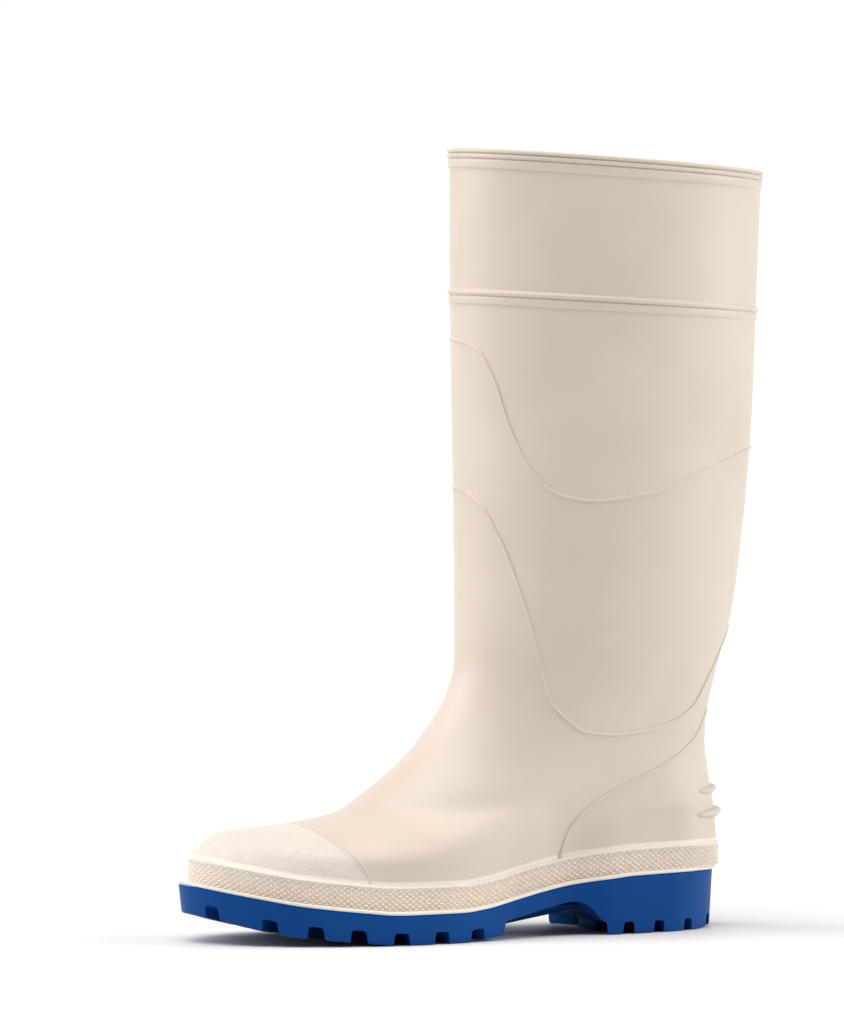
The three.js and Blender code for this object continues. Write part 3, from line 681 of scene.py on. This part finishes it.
@dataclass
class Upper:
    """The moulded upper with its lip, foxing band, collar, raised lines and kick-off ribs."""

    last: Last
    origin: float
    columns: int = 372
    pyramid: float = 1.0
    line_width: float = 1.7
    line_height: float = 0.75
    cap_bead: tuple[float, float] = (0.75, 0.4)  # the cap's edge as shares of a line's width and height
    ribs: tuple = ((0.152, 4.0, 6.4), (0.183, 3.0, 5.4))  # rise, out, thickness at the root
    rib_reach: float = 0.17
    rib_drop: float = 0.6
    rib_root: float = 1.2  # how deep a rib is sunk in the wall
    line_root: float = 0.7  # and a line
    pyramid_rows: int = 8
    angle: np.ndarray = field(init=False)

    def __post_init__(self) -> None:
        """Divides the band evenly, so the pyramids come out alike."""
        self.angle = self.last.even_angles(self.columns)

    def _shift(self, points: np.ndarray) -> np.ndarray:
        """Moves the part's own frame into the record's."""
        return points + np.array([self.origin, 0, 0])

    def _low_ring(self, lift: float, out: float | np.ndarray) -> np.ndarray:
        """A ring of the foxing band, lift above the joint."""
        p = self.last.out(0.0, self.angle, out)
        p[:, 2] = self.last.joint(p[:, 0]) + self.last.s.gap + lift
        return p

    def _lip(self) -> list[np.ndarray]:
        """Rings of the welt lip."""
        s, rings = self.last.s, []
        for inset, lift in LIP_PROFILE:
            x, y = self.last.outline(
                self.angle, self.last.at(0.0) + inset, self.last.at(1.0) + s.heel_lip - inset, inset
            )
            rings.append(np.stack([x, y, self.last.joint(x) + s.gap + lift], axis=-1))
        return rings

    def _band(self) -> list[np.ndarray]:
        """Rings of the foxing band: rows of small pyramids between plain edges."""
        s = self.last.s
        even = np.arange(self.columns) % 2 == 0
        rings = [self._low_ring(s.lip_height + 0.1, s.band_step - 0.35)]
        lines = np.linspace(s.lip_height + 0.7, s.band_height - 2.3, self.pyramid_rows)
        for k, lift in enumerate(lines):
            peak = even if k % 2 == 0 else ~even
            out = np.where(peak, self.pyramid, -0.2)
            rings.append(self._low_ring(lift, s.band_step - 0.6 + out))
        for lift, out in BAND_EDGE:
            rings.append(self._low_ring(s.band_height + lift, s.band_step + out))
        return rings

    def shell(self) -> bmesh.types.BMesh:
        """The hollow shell, closed over the collar's rim and under the lip."""
        last, rings = self.last, []
        top, mid = last.level_below(RIM_PROFILE[-1][0]), [last.level_below(d) for d in (80.5, 71.0)]
        rings += self._lip()
        first = len(rings)
        rings += self._band()
        band_end = len(rings)
        rings += [last.wall(level, self.angle) for level in np.linspace(0.006, mid[0], 78)]
        rings += [last.out(last.level_below(d), self.angle, o) for d, o in reversed(MID_PROFILE)]
        rings += [last.wall(level, self.angle) for level in np.linspace(mid[1], top, 14)[:-1]]
        rings += [last.out(last.level_below(d), self.angle, o) for d, o in reversed(RIM_PROFILE)]
        inside = len(rings)
        rings += [last.out(level, self.angle, -last.s.wall) for level in np.linspace(0.985, 0.0, 34)]
        foot = rings[-1].copy()
        foot[:, 2] = last.joint(foot[:, 0]) + last.s.gap
        rings.append(foot)
        # material 2, on the lip and foxing band, is painted paler: painted light near the floor
        bands = [
            (0, 2, 3, True), (2, band_end, 2, True), (first, first + self.pyramid_rows + 1, 2, False),
            (inside, len(rings) - 1, 1, True),
        ]
        row, column = np.indices((len(rings), self.columns))
        rows = (row > first) & (row <= first + self.pyramid_rows)
        valley = rows & ((row - first - 1 + column) % 2 == 1)
        return grid(self._shift(np.stack(rings)), True, True, bands, valley)

    def _sweep(
        self, level: np.ndarray, angle: np.ndarray, profile: np.ndarray, closed: bool
    ) -> bmesh.types.BMesh:
        """Sweeps a closed profile over the wall.

        Args:
            level: Where the stations lie.
            angle: Their angles.
            profile: (across, out) points in millimetres for each station.
            closed: Whether the last station joins the first.

        Returns:
            The bmesh, its ends closed.
        """
        centre, normal = self.last.wall(level, angle), self.last.normal(level, angle)
        if closed:
            along = np.roll(centre, -1, axis=0) - np.roll(centre, 1, axis=0)
        else:
            along = np.gradient(centre, axis=0)
        across = np.cross(normal, along)
        across /= np.linalg.norm(across, axis=-1, keepdims=True)
        points = (
            centre[:, None] + across[:, None] * profile[..., :1] + normal[:, None] * profile[..., 1:2]
        )
        bm = grid(self._shift(points), closed, True)
        if not closed:
            cap(bm)
        bmesh.ops.recalc_face_normals(bm, faces=bm.faces)
        return bm

    def _bead(self, count: int, scale: np.ndarray | float = 1.0) -> np.ndarray:
        """A half-round bead, sunk a little in the wall."""
        t = np.linspace(0, math.pi, 9)
        arc = np.stack([np.cos(t) * self.line_width * 0.5, np.sin(t) * self.line_height], axis=-1)
        half = self.line_width * 0.5
        root = np.array([[-half, -self.line_root], [half, -self.line_root]])
        one = np.concatenate([arc, root])
        return np.repeat(one[None], count, axis=0) * np.asarray(scale)

    def loop_line(self, rows: tuple) -> bmesh.types.BMesh:
        """A raised line right round the shaft."""
        s, count = self.last.s, 260
        rise = Curve([r[0] for r in rows], [r[1] for r in rows])
        angle = (np.arange(count) + 0.5) * 2 * math.pi / count
        turn = np.where(angle < math.pi, angle, angle - 2 * math.pi) / math.pi
        turn = np.abs(turn + LINE_LEAN * (1 - np.abs(turn)))
        tall = s.height - s.collar_drop * (1 - np.cos(angle)) / 2
        level = self.last.level_at(rise(turn) * tall, angle)
        return self._sweep(level, angle, self._bead(count), True)

    def counter_line(self) -> bmesh.types.BMesh:
        """The raised line of the heel counter, round the back."""
        last = self.last
        rise = Curve([r[0] for r in COUNTER_LINE], [r[1] for r in COUNTER_LINE])
        share = np.linspace(0, 1, 70)[:-1]
        first, end = COUNTER_LINE[0][0], COUNTER_LINE[-1][0]
        x = last.at(first + (end - first) * np.sin(share * math.pi / 2))
        target = rise(x / last.s.length + 0.5) * last.s.height
        low, high = np.zeros_like(x), np.full_like(x, 0.6)
        for _ in range(HALVINGS):
            middle = (low + high) / 2
            below = last.wall(middle, last.angle_at(middle, x))[..., 2] < target
            low, high = np.where(below, middle, low), np.where(below, high, middle)
        level, angle = low, last.angle_at(low, x)
        level = np.concatenate([level, level[-1:], level[::-1]])
        angle = np.concatenate([angle, [math.pi], 2 * math.pi - angle[::-1]])
        return self._sweep(level, angle, self._bead(len(level)), False)

    def cap_line(self) -> bmesh.types.BMesh:
        """The raised edge of the toe cap, over the ridge."""
        band, ridge, top = CAP_EDGE
        share = np.linspace(0, 1, 44)[:-1]
        level = 0.002 + (top - 0.002) * share
        angle = self.last.angle_at(level, self.last.at(band + (ridge - band) * share))
        level = np.concatenate([level, [top], level[::-1]])
        angle = np.concatenate([angle, [0.0], -angle[::-1]])
        return self._sweep(level, angle, self._bead(len(level), np.array(self.cap_bead)), False)

    def rib(self, rise: float, out: float, thick: float) -> bmesh.types.BMesh:
        """A kick-off rib, a crescent round the back of the heel."""
        s, count = self.last.s, 41
        turn = np.linspace(-1, 1, count)
        angle = math.pi * (1 + turn * self.rib_reach)
        tall = rise * (s.height - s.collar_drop) - self.rib_drop * turn**2
        level = self.last.level_at(tall, angle)
        thin = np.sqrt(np.clip(1 - np.abs(turn) ** 2.4, 0.02, 1))
        crest = np.array(RIB_PROFILE) * np.array([thick, out])
        profile = crest[None] * thin[:, None, None]
        root = np.stack([profile[:, -1], profile[:, 0]], axis=1)
        root = root * np.array([1.0, 0.0]) - np.array([0.0, self.rib_root])
        return self._sweep(level, angle, np.concatenate([profile, root], axis=1), False)

    def build(self) -> None:
        """Makes the upper's pieces and dresses them."""
        last = self.last
        band, ridge, top = CAP_EDGE
        crest = last.wall(np.array([top]), np.array([0.0]))[0]
        foot = last.wall(np.array([0.0]), last.angle_at(np.array([0.0]), last.at(band)))[0]
        slope = (foot[0] - crest[0]) / (crest[2] - foot[2])
        cap = (float(crest[0] + self.origin), float(slope), float(crest[2]))
        ivory = rubber(IVORY, Skin.SMOOTH, cap)
        # the second of these is the paler copy of the ivory: painted light on the lip and foxing band
        plain, band_lit, edge = (rubber(f, Skin.SMOOTH) for f in (IVORY, BAND_PAINTED_LIGHT, FLASH))
        looks = [ivory, cloth(LINING, 1.2), band_lit, edge]
        shell = finish_piece("upper_shell", [self.shell()], looks)
        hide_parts("upper")
        lines = [self.loop_line(rows) for rows in (UPPER_LINE, LOWER_LINE)]
        lines += [self.counter_line(), self.cap_line()]
        finish_piece("raised_lines", lines, [plain])
        finish_piece("kick_ribs", [self.rib(*r) for r in self.ribs], [plain])


FOREFOOT_NOTCHES = (0.025, 0.106, 0.179, 0.252, 0.328, 0.406, 0.48)
FOREFOOT_END, HEEL_BREAST = 0.54, 0.747
HEEL_NOTCHES = (0.791, 0.855, 0.92, 0.98)
CHEVRONS = (  # at, facing, span, sweep, thickness in mm
    (0.238, -1, 0.228, 0.2, 11), (0.31, -1, 0.228, 0.2, 11), (0.379, -1, 0.19, 0.165, 11),
    (0.845, 1, 0.12, 0.15, 8),
)
SIDE_LUG = ((0.207, 0.025), (0.209, 0.165), (0.262, 0.19))
HALF_MOONS = (
    ((0.124, 0.0), (0.13, 0.07), (0.15, 0.12), (0.179, 0.14)),
    ((0.848, 0.11), (0.878, 0.095), (0.902, 0.055), (0.911, 0.0)),
)
WEDGES = (((0.45, 0.0), (0.497, 0.13), (0.52, 0.115)), ((0.76, 0.125), (0.772, 0.1), (0.8, 0.0)))
WAIST_PANEL = ((0.541, 0.13), (0.721, 0.16))
SOLE_BREAKS = (0.54, 0.56, 0.69, 0.715, 0.735, 0.747)  # where the web's slope changes
BAR_PROFILE = ((0.7, 0.0), (0.92, 0.1), (0.99, 0.4))  # share of the depth, and how far a bar stands in
BAR_COUNT, BAR_HALF, BAR_END = 6, 0.75, 2.6  # bars of a half-moon, half their width and their end's room
OUTER_STEPS = 25  # points of a lug along the outline


@dataclass(frozen=True)
class EdgeRow:
    """How a row of edge lugs is cut: notch width, reach inwards and the point that the notches face."""

    notch: float
    reach: float
    focus_at: float
    focus_across: float


FOREFOOT_ROW = EdgeRow(8, 25, 0.365, 0.62)
HEEL_ROW = EdgeRow(6, 18, 0.833, 0.18)
LUG_PROFILE = (  # share of the depth below the web, and how far the flank stands in
    (-0.35, -1.4), (0.0, -1.4), (0.05, -0.75), (0.14, -0.25), (0.28, 0.0), (0.8, 0.35), (0.9, 0.55),
    (0.965, 0.95), (1.0, 1.5),
)
WALL_BEVEL = (0.25, 0.0, 0.0, 0.0, 0.0, 0.0, 0.12, 0.4, 0.9)  # and how far the outer face does


@dataclass
class Lug:
    """A lug's plan: inner corners in order, and the stretch of the outline between its flanks if any."""

    inner: np.ndarray
    outer: tuple[float, float] | None = None
    grained: bool = True
    depth: float = 1.0


@dataclass
class Outsole:
    """The blue outsole: a lofted body, and lugs that stand below its web."""

    last: Last
    origin: float
    columns: int = 240

    def _on_sole(self, at: float, across: float) -> np.ndarray:
        """A point by share of the length, and share of the ball width from the middle line."""
        x = self.last.at(at)
        return np.array([x, across * self.last.s.ball_width - self.last.swing(x)])

    def _rim(self, angle: np.ndarray, inset: np.ndarray | float = 0.0) -> np.ndarray:
        """Points of the outline, standing in by inset."""
        front, back = self.last.at(0.0) + inset, self.last.at(1.0) - inset
        return np.stack(self.last.outline(angle, front, back, inset), axis=-1)

    def _lean(self, x: np.ndarray, z: np.ndarray) -> np.ndarray:
        """How far the side wall has leaned in at a height."""
        top, bottom = self.last.joint(x), self.last.tread(x)
        return self.last.s.sole_draft * (top - z) / (top - bottom)

    def _flank(self, side: Side, at: float, width: float, row: EdgeRow) -> tuple[float, np.ndarray]:
        """Where a notch's flank meets the outline, and its inner end.

        Args:
            side: The side of the foot.
            at: Share of the length of the notch's middle.
            width: Distance of the flank from that middle, positive towards the heel.
            row: The row of lugs.

        Returns:
            The outline's angle and the inner point.
        """
        turn = -side.value * math.acos(1 - 2 * at)
        rim = self._rim(np.array([turn]))[0]
        inward = self._on_sole(row.focus_at, -side.value * row.focus_across) - rim
        inward /= np.linalg.norm(inward)
        along = np.array([inward[1], -inward[0]]) * -side.value * width
        near = turn + np.linspace(-0.4, 0.4, 4001)
        off = self._rim(near) - (rim + along)
        miss = np.abs(off[:, 0] * inward[1] - off[:, 1] * inward[0])
        return float(near[np.argmin(miss)]), rim + along + inward * row.reach

    def _edge_lug(self, side: Side, stops: tuple, halves: tuple, row: EdgeRow) -> Lug:
        """A lug between two notches."""
        (a, inner_a), (b, inner_b) = (self._flank(side, at, w, row) for at, w in zip(stops, halves))
        return Lug(np.stack([inner_b, inner_a]), (a, b))

    def _tip_lug(self, at: float, is_toe: bool, row: EdgeRow) -> Lug:
        """The lug round the toe's tip or the heel's back."""
        width = -row.notch / 2 if is_toe else row.notch / 2
        sides = (Side.MEDIAL, Side.LATERAL)
        (a, inner_a), (b, inner_b) = (self._flank(side, at, width, row) for side in sides)
        if not is_toe:
            (a, inner_a), (b, inner_b) = (b, inner_b), (a + 2 * math.pi, inner_a)
        return Lug(np.stack([inner_b, inner_a]), (a, b))

    def _mirrored(self, corners: tuple, grained: bool = True, depth: float = 1.0) -> Lug:
        """A lug along the middle from its corners on one side."""
        near = [self._on_sole(at, -across) for at, across in corners]
        far = [self._on_sole(at, across) for at, across in corners if across > 0]
        return Lug(np.array(near + far[::-1]), None, grained, depth)

    def _chevron(self, at: float, facing: int, span: float, sweep: float, thick: float) -> Lug:
        """An arrow-shaped lug."""
        s = self.last.s
        back, arm = -facing * sweep * s.ball_width / s.length, -facing * thick / s.length
        corners = ((at, 0), (at + back, span), (at + back + arm, span), (at + arm, 0),
                   (at + back + arm, -span), (at + back, -span))
        return Lug(np.array([self._on_sole(*c) for c in corners]))

    def lugs(self) -> list[Lug]:
        """All lugs of the tread."""
        lugs = [self._mirrored(c, False, 0.86) for c in HALF_MOONS] + [self._mirrored(c) for c in WEDGES]
        lugs += [self._mirrored(WAIST_PANEL, False)] + [self._chevron(*c) for c in CHEVRONS]
        lugs += [self._tip_lug(FOREFOOT_NOTCHES[0], True, FOREFOOT_ROW)]
        lugs += [self._tip_lug(HEEL_NOTCHES[-1], False, HEEL_ROW)]
        plain = (FOREFOOT_END, HEEL_BREAST)
        rows = (
            ((*FOREFOOT_NOTCHES, FOREFOOT_END), FOREFOOT_ROW),
            ((HEEL_BREAST, *HEEL_NOTCHES), HEEL_ROW),
        )
        for side in Side:
            lugs.append(Lug(np.array([self._on_sole(at, side.value * across) for at, across in SIDE_LUG])))
            for stops, row in rows:
                for first, end in zip(stops, stops[1:]):
                    halves = [0 if at in plain else row.notch / 2 for at in (first, end)]
                    lugs.append(self._edge_lug(side, (first, end), (halves[0], -halves[1]), row))
        return lugs

    @staticmethod
    def _clip_corners(chain: np.ndarray) -> np.ndarray:
        """Cuts each corner off, the sharper the further, so that no edge is lost as the flanks lean in.

        Args:
            chain: The corners in order, with the point before the first and the one after the last.

        Returns:
            Two points for each corner.
        """
        inset, left = LUG_PROFILE[-1][1], 0.5
        clipped = []
        for before, corner, after in zip(chain, chain[1:], chain[2:]):
            ways = [other - corner for other in (before, after)]
            lengths = [float(np.linalg.norm(way)) for way in ways]
            cosine = float(np.clip(ways[0] @ ways[1] / (lengths[0] * lengths[1]), -1, 1))
            half = math.acos(cosine) / 2
            cut = (2 * inset * math.tan((math.pi / 2 - half) / 2) + left) / (2 * math.sin(half))
            for way, length in zip(ways, lengths):
                clipped.append(corner + way / length * min(cut, length * 0.45))
        return np.array(clipped)

    def _speed(self, angle: float) -> float:
        """Millimetres of the outline for each radian of its angle."""
        step = 0.005
        ends = self._rim(np.array([angle, angle + step]))
        return float(np.linalg.norm(ends[1] - ends[0])) / step

    def _loop(
        self, lug: Lug, inner: np.ndarray, mitre: np.ndarray, level: tuple, bevel: float
    ) -> np.ndarray:
        """One ring of a lug's stack.

        Args:
            lug: The lug.
            inner: Its clipped inner corners.
            mitre: How each corner moves for a millimetre of inset.
            level: Share of the depth, and the inset there.
            bevel: How far the outer face stands in there.

        Returns:
            The ring's points.
        """
        share, inset = level
        share = share * lug.depth if share > 0 else share
        pieces = []
        if lug.outer is not None:
            first, end = lug.outer
            step = [math.copysign(1, end - first) * inset / self._speed(a) for a in lug.outer]
            angle = np.linspace(first + step[0], end - step[1], OUTER_STEPS)
            x = self._rim(angle)[:, 0]
            pieces.append(self._rim(angle, self._lean(x, self.last.under(x, share)) + bevel))
        pieces.append(inner + mitre * inset)
        flat = np.concatenate(pieces)
        return raised(flat, self.last.under(flat[:, 0], share))

    def _stack(self, lug: Lug) -> bmesh.types.BMesh:
        """Builds one lug."""
        if lug.outer is not None:
            rim = self._rim(np.linspace(*lug.outer, OUTER_STEPS))
            first, last = rim[-1:], rim[:1]
        else:
            first, last = lug.inner[-1:], lug.inner[:1]
        inner = self._clip_corners(np.concatenate([first, lug.inner, last]))
        if lug.outer is None:
            first, last = inner[-1:], inner[:1]
        before = inner - np.concatenate([first, inner[:-1]])
        after = np.concatenate([inner[1:], last]) - inner
        whole = inner if lug.outer is None else np.concatenate([rim, inner])
        x, y = whole.T
        turn = math.copysign(1, float(np.sum(x * np.roll(y, -1) - np.roll(x, -1) * y)))
        normals = []
        for edge in (before, after):
            edge = edge / np.linalg.norm(edge, axis=1, keepdims=True)
            normals.append(np.stack([-edge[:, 1], edge[:, 0]], axis=1) * turn)
        mitre = (normals[0] + normals[1]) / (1 + np.sum(normals[0] * normals[1], axis=1, keepdims=True))
        rows = [self._loop(lug, inner, mitre, level, bevel) for level, bevel in zip(LUG_PROFILE, WALL_BEVEL)]
        bm = grid(np.stack(rows) + np.array([self.origin, 0, 0]), False, True)
        caps = cap(bm)
        low = min(caps, key=lambda face: face.calc_center_median().z)
        low.material_index = 1 if lug.grained else 0
        bmesh.ops.triangulate(bm, faces=caps, ngon_method="EAR_CLIP")
        bmesh.ops.recalc_face_normals(bm, faces=bm.faces)
        return bm

    def _bars(self, lug: Lug) -> list[bmesh.types.BMesh]:
        """Ribs across a half-moon pad."""
        x, y = lug.inner.T
        low, high = x.min() + 2.2, x.max() - BAR_END
        bars = []
        for middle in np.linspace(low, high, BAR_COUNT):
            ends = []
            for i in range(len(x)):
                a, b = lug.inner[i], lug.inner[(i + 1) % len(x)]
                if (a[0] - middle) * (b[0] - middle) < 0:
                    ends.append(a[1] + (b[1] - a[1]) * (middle - a[0]) / (b[0] - a[0]))
            first, end = min(ends) + BAR_END, max(ends) - BAR_END
            if end - first < 3:
                continue
            left, right = middle - BAR_HALF, middle + BAR_HALF
            plan = np.array([[left, first], [right, first], [right, end], [left, end]])
            rows = []
            for share, inset in BAR_PROFILE:
                flat = plan - np.sign(plan - plan.mean(axis=0)) * inset
                rows.append(raised(flat, self.last.under(flat[:, 0], share)))
            bm = grid(np.stack(rows) + np.array([self.origin, 0, 0]), False, True)
            cap(bm)
            bmesh.ops.recalc_face_normals(bm, faces=bm.faces)
            bars.append(bm)
        return bars

    def body(self) -> bmesh.types.BMesh:
        """The sole above its web, closed top and bottom along its middle line."""
        last = self.last
        even = np.linspace(0, 2 * math.pi, self.columns, endpoint=False)
        breaks = [math.acos(1 - 2 * at) for at in SOLE_BREAKS]
        angle = np.unique(np.concatenate([even, breaks, [2 * math.pi - a for a in breaks]]))
        rings = []
        for share in (0.0, 0.5, 0.9):
            flat = self._rim(angle, 6.0 * (1 - share) + 0.4)
            rings.append(self._ring_at(flat, share, last.joint))
        for inset, drop in ((0.35, 0.0), (0.1, 0.12), (0.0, 0.45)):
            flat = self._rim(angle, inset)
            rings.append(raised(flat, last.joint(flat[:, 0]) - drop))
        for share in np.linspace(0.05, 1, 9):
            flat = self._rim(angle)
            z = last.joint(flat[:, 0]) * (1 - share) + last.web(flat[:, 0]) * share
            z = np.minimum(z, last.joint(flat[:, 0]) - 0.45 - 0.3 * share)
            rings.append(raised(self._rim(angle, self._lean(flat[:, 0], z)), z))
        foot = rings[-1][:, :2]
        rings += [self._ring_at(foot, share, last.web) for share in (0.985, 0.9, 0.75, 0.5, 0.25, 0.0)]
        bm = grid(np.stack(rings) + np.array([self.origin, 0, 0]), False, True)
        bmesh.ops.dissolve_degenerate(bm, edges=bm.edges, dist=1e-6)
        bmesh.ops.recalc_face_normals(bm, faces=bm.faces)
        return bm

    def _ring_at(self, edge: np.ndarray, share: float, height: Callable) -> np.ndarray:
        """An edge drawn in towards the middle line, at a height given by x."""
        middle = -self.last.swing(edge[:, 0])
        y = middle + (edge[:, 1] - middle) * share
        return np.stack([edge[:, 0], y, height(edge[:, 0])], axis=1)

    def build(self) -> None:
        """Makes the outsole."""
        plans = self.lugs()
        parts = [self.body()] + [self._stack(lug) for lug in plans]
        for lug in plans[:2]:
            parts += self._bars(lug)
        for part in parts:
            for edge in part.edges:
                if len(edge.link_faces) == 2 and edge.calc_face_angle() > SHARP:
                    edge.smooth = False
        materials = [rubber(BLUE, Skin.SMOOTH), rubber(BLUE, Skin.GRAIN)]
        sole = finish_piece("outsole_rubber", parts, materials)
        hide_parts("outsole")


@dataclass
class Insole:
    """The loose insole, whose solid stays and gets its felt."""

    node: bpy.types.Object

    def build(self) -> None:
        """Dresses the insole's node."""
        felt = cloth(FELT, 0.8)
        for slot in self.node.material_slots:
            slot.material = felt


@dataclass(frozen=True)
class Sun:
    """A soft light so far off that it lights boot and floor evenly."""

    name: str
    turn: float  # degrees to the right of the camera, seen from the boot
    rise: float  # degrees above the floor
    strength: float  # how bright a white sheet that faces it becomes
    width: float  # how many degrees wide it looks


SUNS = (
    Sun("left_box", -98, 26, 0.5, 44),
    Sun("right_box", 94, 24, 0.68, 50),
    Sun("top_box", -42, 70, 0.84, 56),
)
BACKDROP = {"From Min": 0.55, "From Max": 0.97, "To Min": 0.1, "To Max": 1.02}


@dataclass
class Studio:
    """A pale floor, soft light and the photograph's camera."""

    origin: float
    yaw: float = math.radians(22)
    distance: float = 4150
    eye: float = 365
    focal: float = 8121.6  # pixels
    aim_x: float = 448.7  # where the sole's middle lies in the frame
    horizon: float = 220.4
    sensor: float = 36
    floor_half: float = 60  # metres

    def _axes(self) -> tuple[Vector, Vector]:
        """The camera's right and backward directions, level."""
        return (
            Vector((math.cos(self.yaw), -math.sin(self.yaw), 0)),
            Vector((-math.sin(self.yaw), -math.cos(self.yaw), 0)),
        )

    def camera(self) -> None:
        """Stands the camera where the photograph was taken from."""
        right, back = self._axes()
        side = (FRAME_W / 2 - self.aim_x) * self.distance / self.focal
        data = bpy.data.cameras.new("camera")
        data.lens = self.focal * self.sensor / FRAME_H
        data.sensor_width = self.sensor
        data.clip_end = 200
        camera = bpy.data.objects.new("camera", data)
        spot = Vector((self.origin, 0, self.eye)) + right * side + back * self.distance
        camera.location = spot * MM
        pitch = math.atan((FRAME_H / 2 - self.horizon) / self.focal)
        camera.rotation_euler = Euler((math.pi / 2 - pitch, 0, -self.yaw))
        bpy.context.scene.collection.objects.link(camera)
        bpy.context.scene.camera = camera

    def floor(self) -> None:
        """Lays the floor."""
        bm = bmesh.new()
        bmesh.ops.create_grid(bm, x_segments=1, y_segments=1, size=self.floor_half)
        mesh = bpy.data.meshes.new("floor")
        bm.to_mesh(mesh)
        bm.free()
        floor = bpy.data.objects.new("floor", mesh)
        bpy.context.scene.collection.objects.link(floor)
        shader = Shader("floor")
        shader.feed(Base_Color=(0.8, 0.8, 0.8, 1.0), Roughness=0.6)
        mesh.materials.append(shader.material)

    def sun(self, sun: Sun) -> None:
        """Adds a soft light.

        Args:
            sun: Where it stands and how it shines.
        """
        right, back = self._axes()
        data = bpy.data.lights.new(sun.name, "SUN")
        data.energy = sun.strength * math.pi
        data.angle = math.radians(sun.width)
        lamp = bpy.data.objects.new(sun.name, data)
        turn, rise = math.radians(sun.turn), math.radians(sun.rise)
        level = right * math.sin(turn) + back * math.cos(turn)
        towards = level * math.cos(rise) + Vector((0, 0, math.sin(rise)))
        lamp.rotation_euler = towards.to_track_quat("Z", "Y").to_euler()
        lamp.location = towards * 3
        bpy.context.scene.collection.objects.link(lamp)

    def surround(self) -> None:
        """A dim white surround that is brightest behind the boot, as a lit backdrop is."""
        world = bpy.data.worlds.new("surround")
        world.use_nodes = True
        tree = world.node_tree
        _, back = self._axes()
        place = tree.nodes.new("ShaderNodeTexCoord")
        dot = tree.nodes.new("ShaderNodeVectorMath")
        dot.operation = "DOT_PRODUCT"
        dot.inputs[1].default_value = -back
        ramp = tree.nodes.new("ShaderNodeMapRange")
        ramp.interpolation_type = "SMOOTHSTEP"
        for socket, value in BACKDROP.items():
            ramp.inputs[socket].default_value = value
        background = next(n for n in tree.nodes if n.type == "BACKGROUND")
        background.inputs["Color"].default_value = (1, 1, 1, 1)
        tree.links.new(place.outputs["Generated"], dot.inputs[0])
        tree.links.new(dot.outputs["Value"], ramp.inputs["Value"])
        tree.links.new(ramp.outputs["Result"], background.inputs["Strength"])
        bpy.context.scene.world = world

    def build(self) -> None:
        """Sets the whole studio."""
        self.camera()
        self.floor()
        for sun in SUNS:
            self.sun(sun)
        self.surround()
        bpy.context.scene.view_settings.view_transform = "Standard"


def main() -> None:
    """Builds the scene in order."""
    logging.basicConfig(level=logging.INFO, format="%(message)s")
    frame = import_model()
    low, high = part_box("outsole")
    origin = (low[0] + high[0]) / 2 / MM
    last = Last(Sizes())
    Studio(origin).build()
    Upper(last, origin).build()
    Outsole(last, origin).build()
    Insole(frame["nodes"]["insole"]).build()


if __name__ == "__main__":
    main()
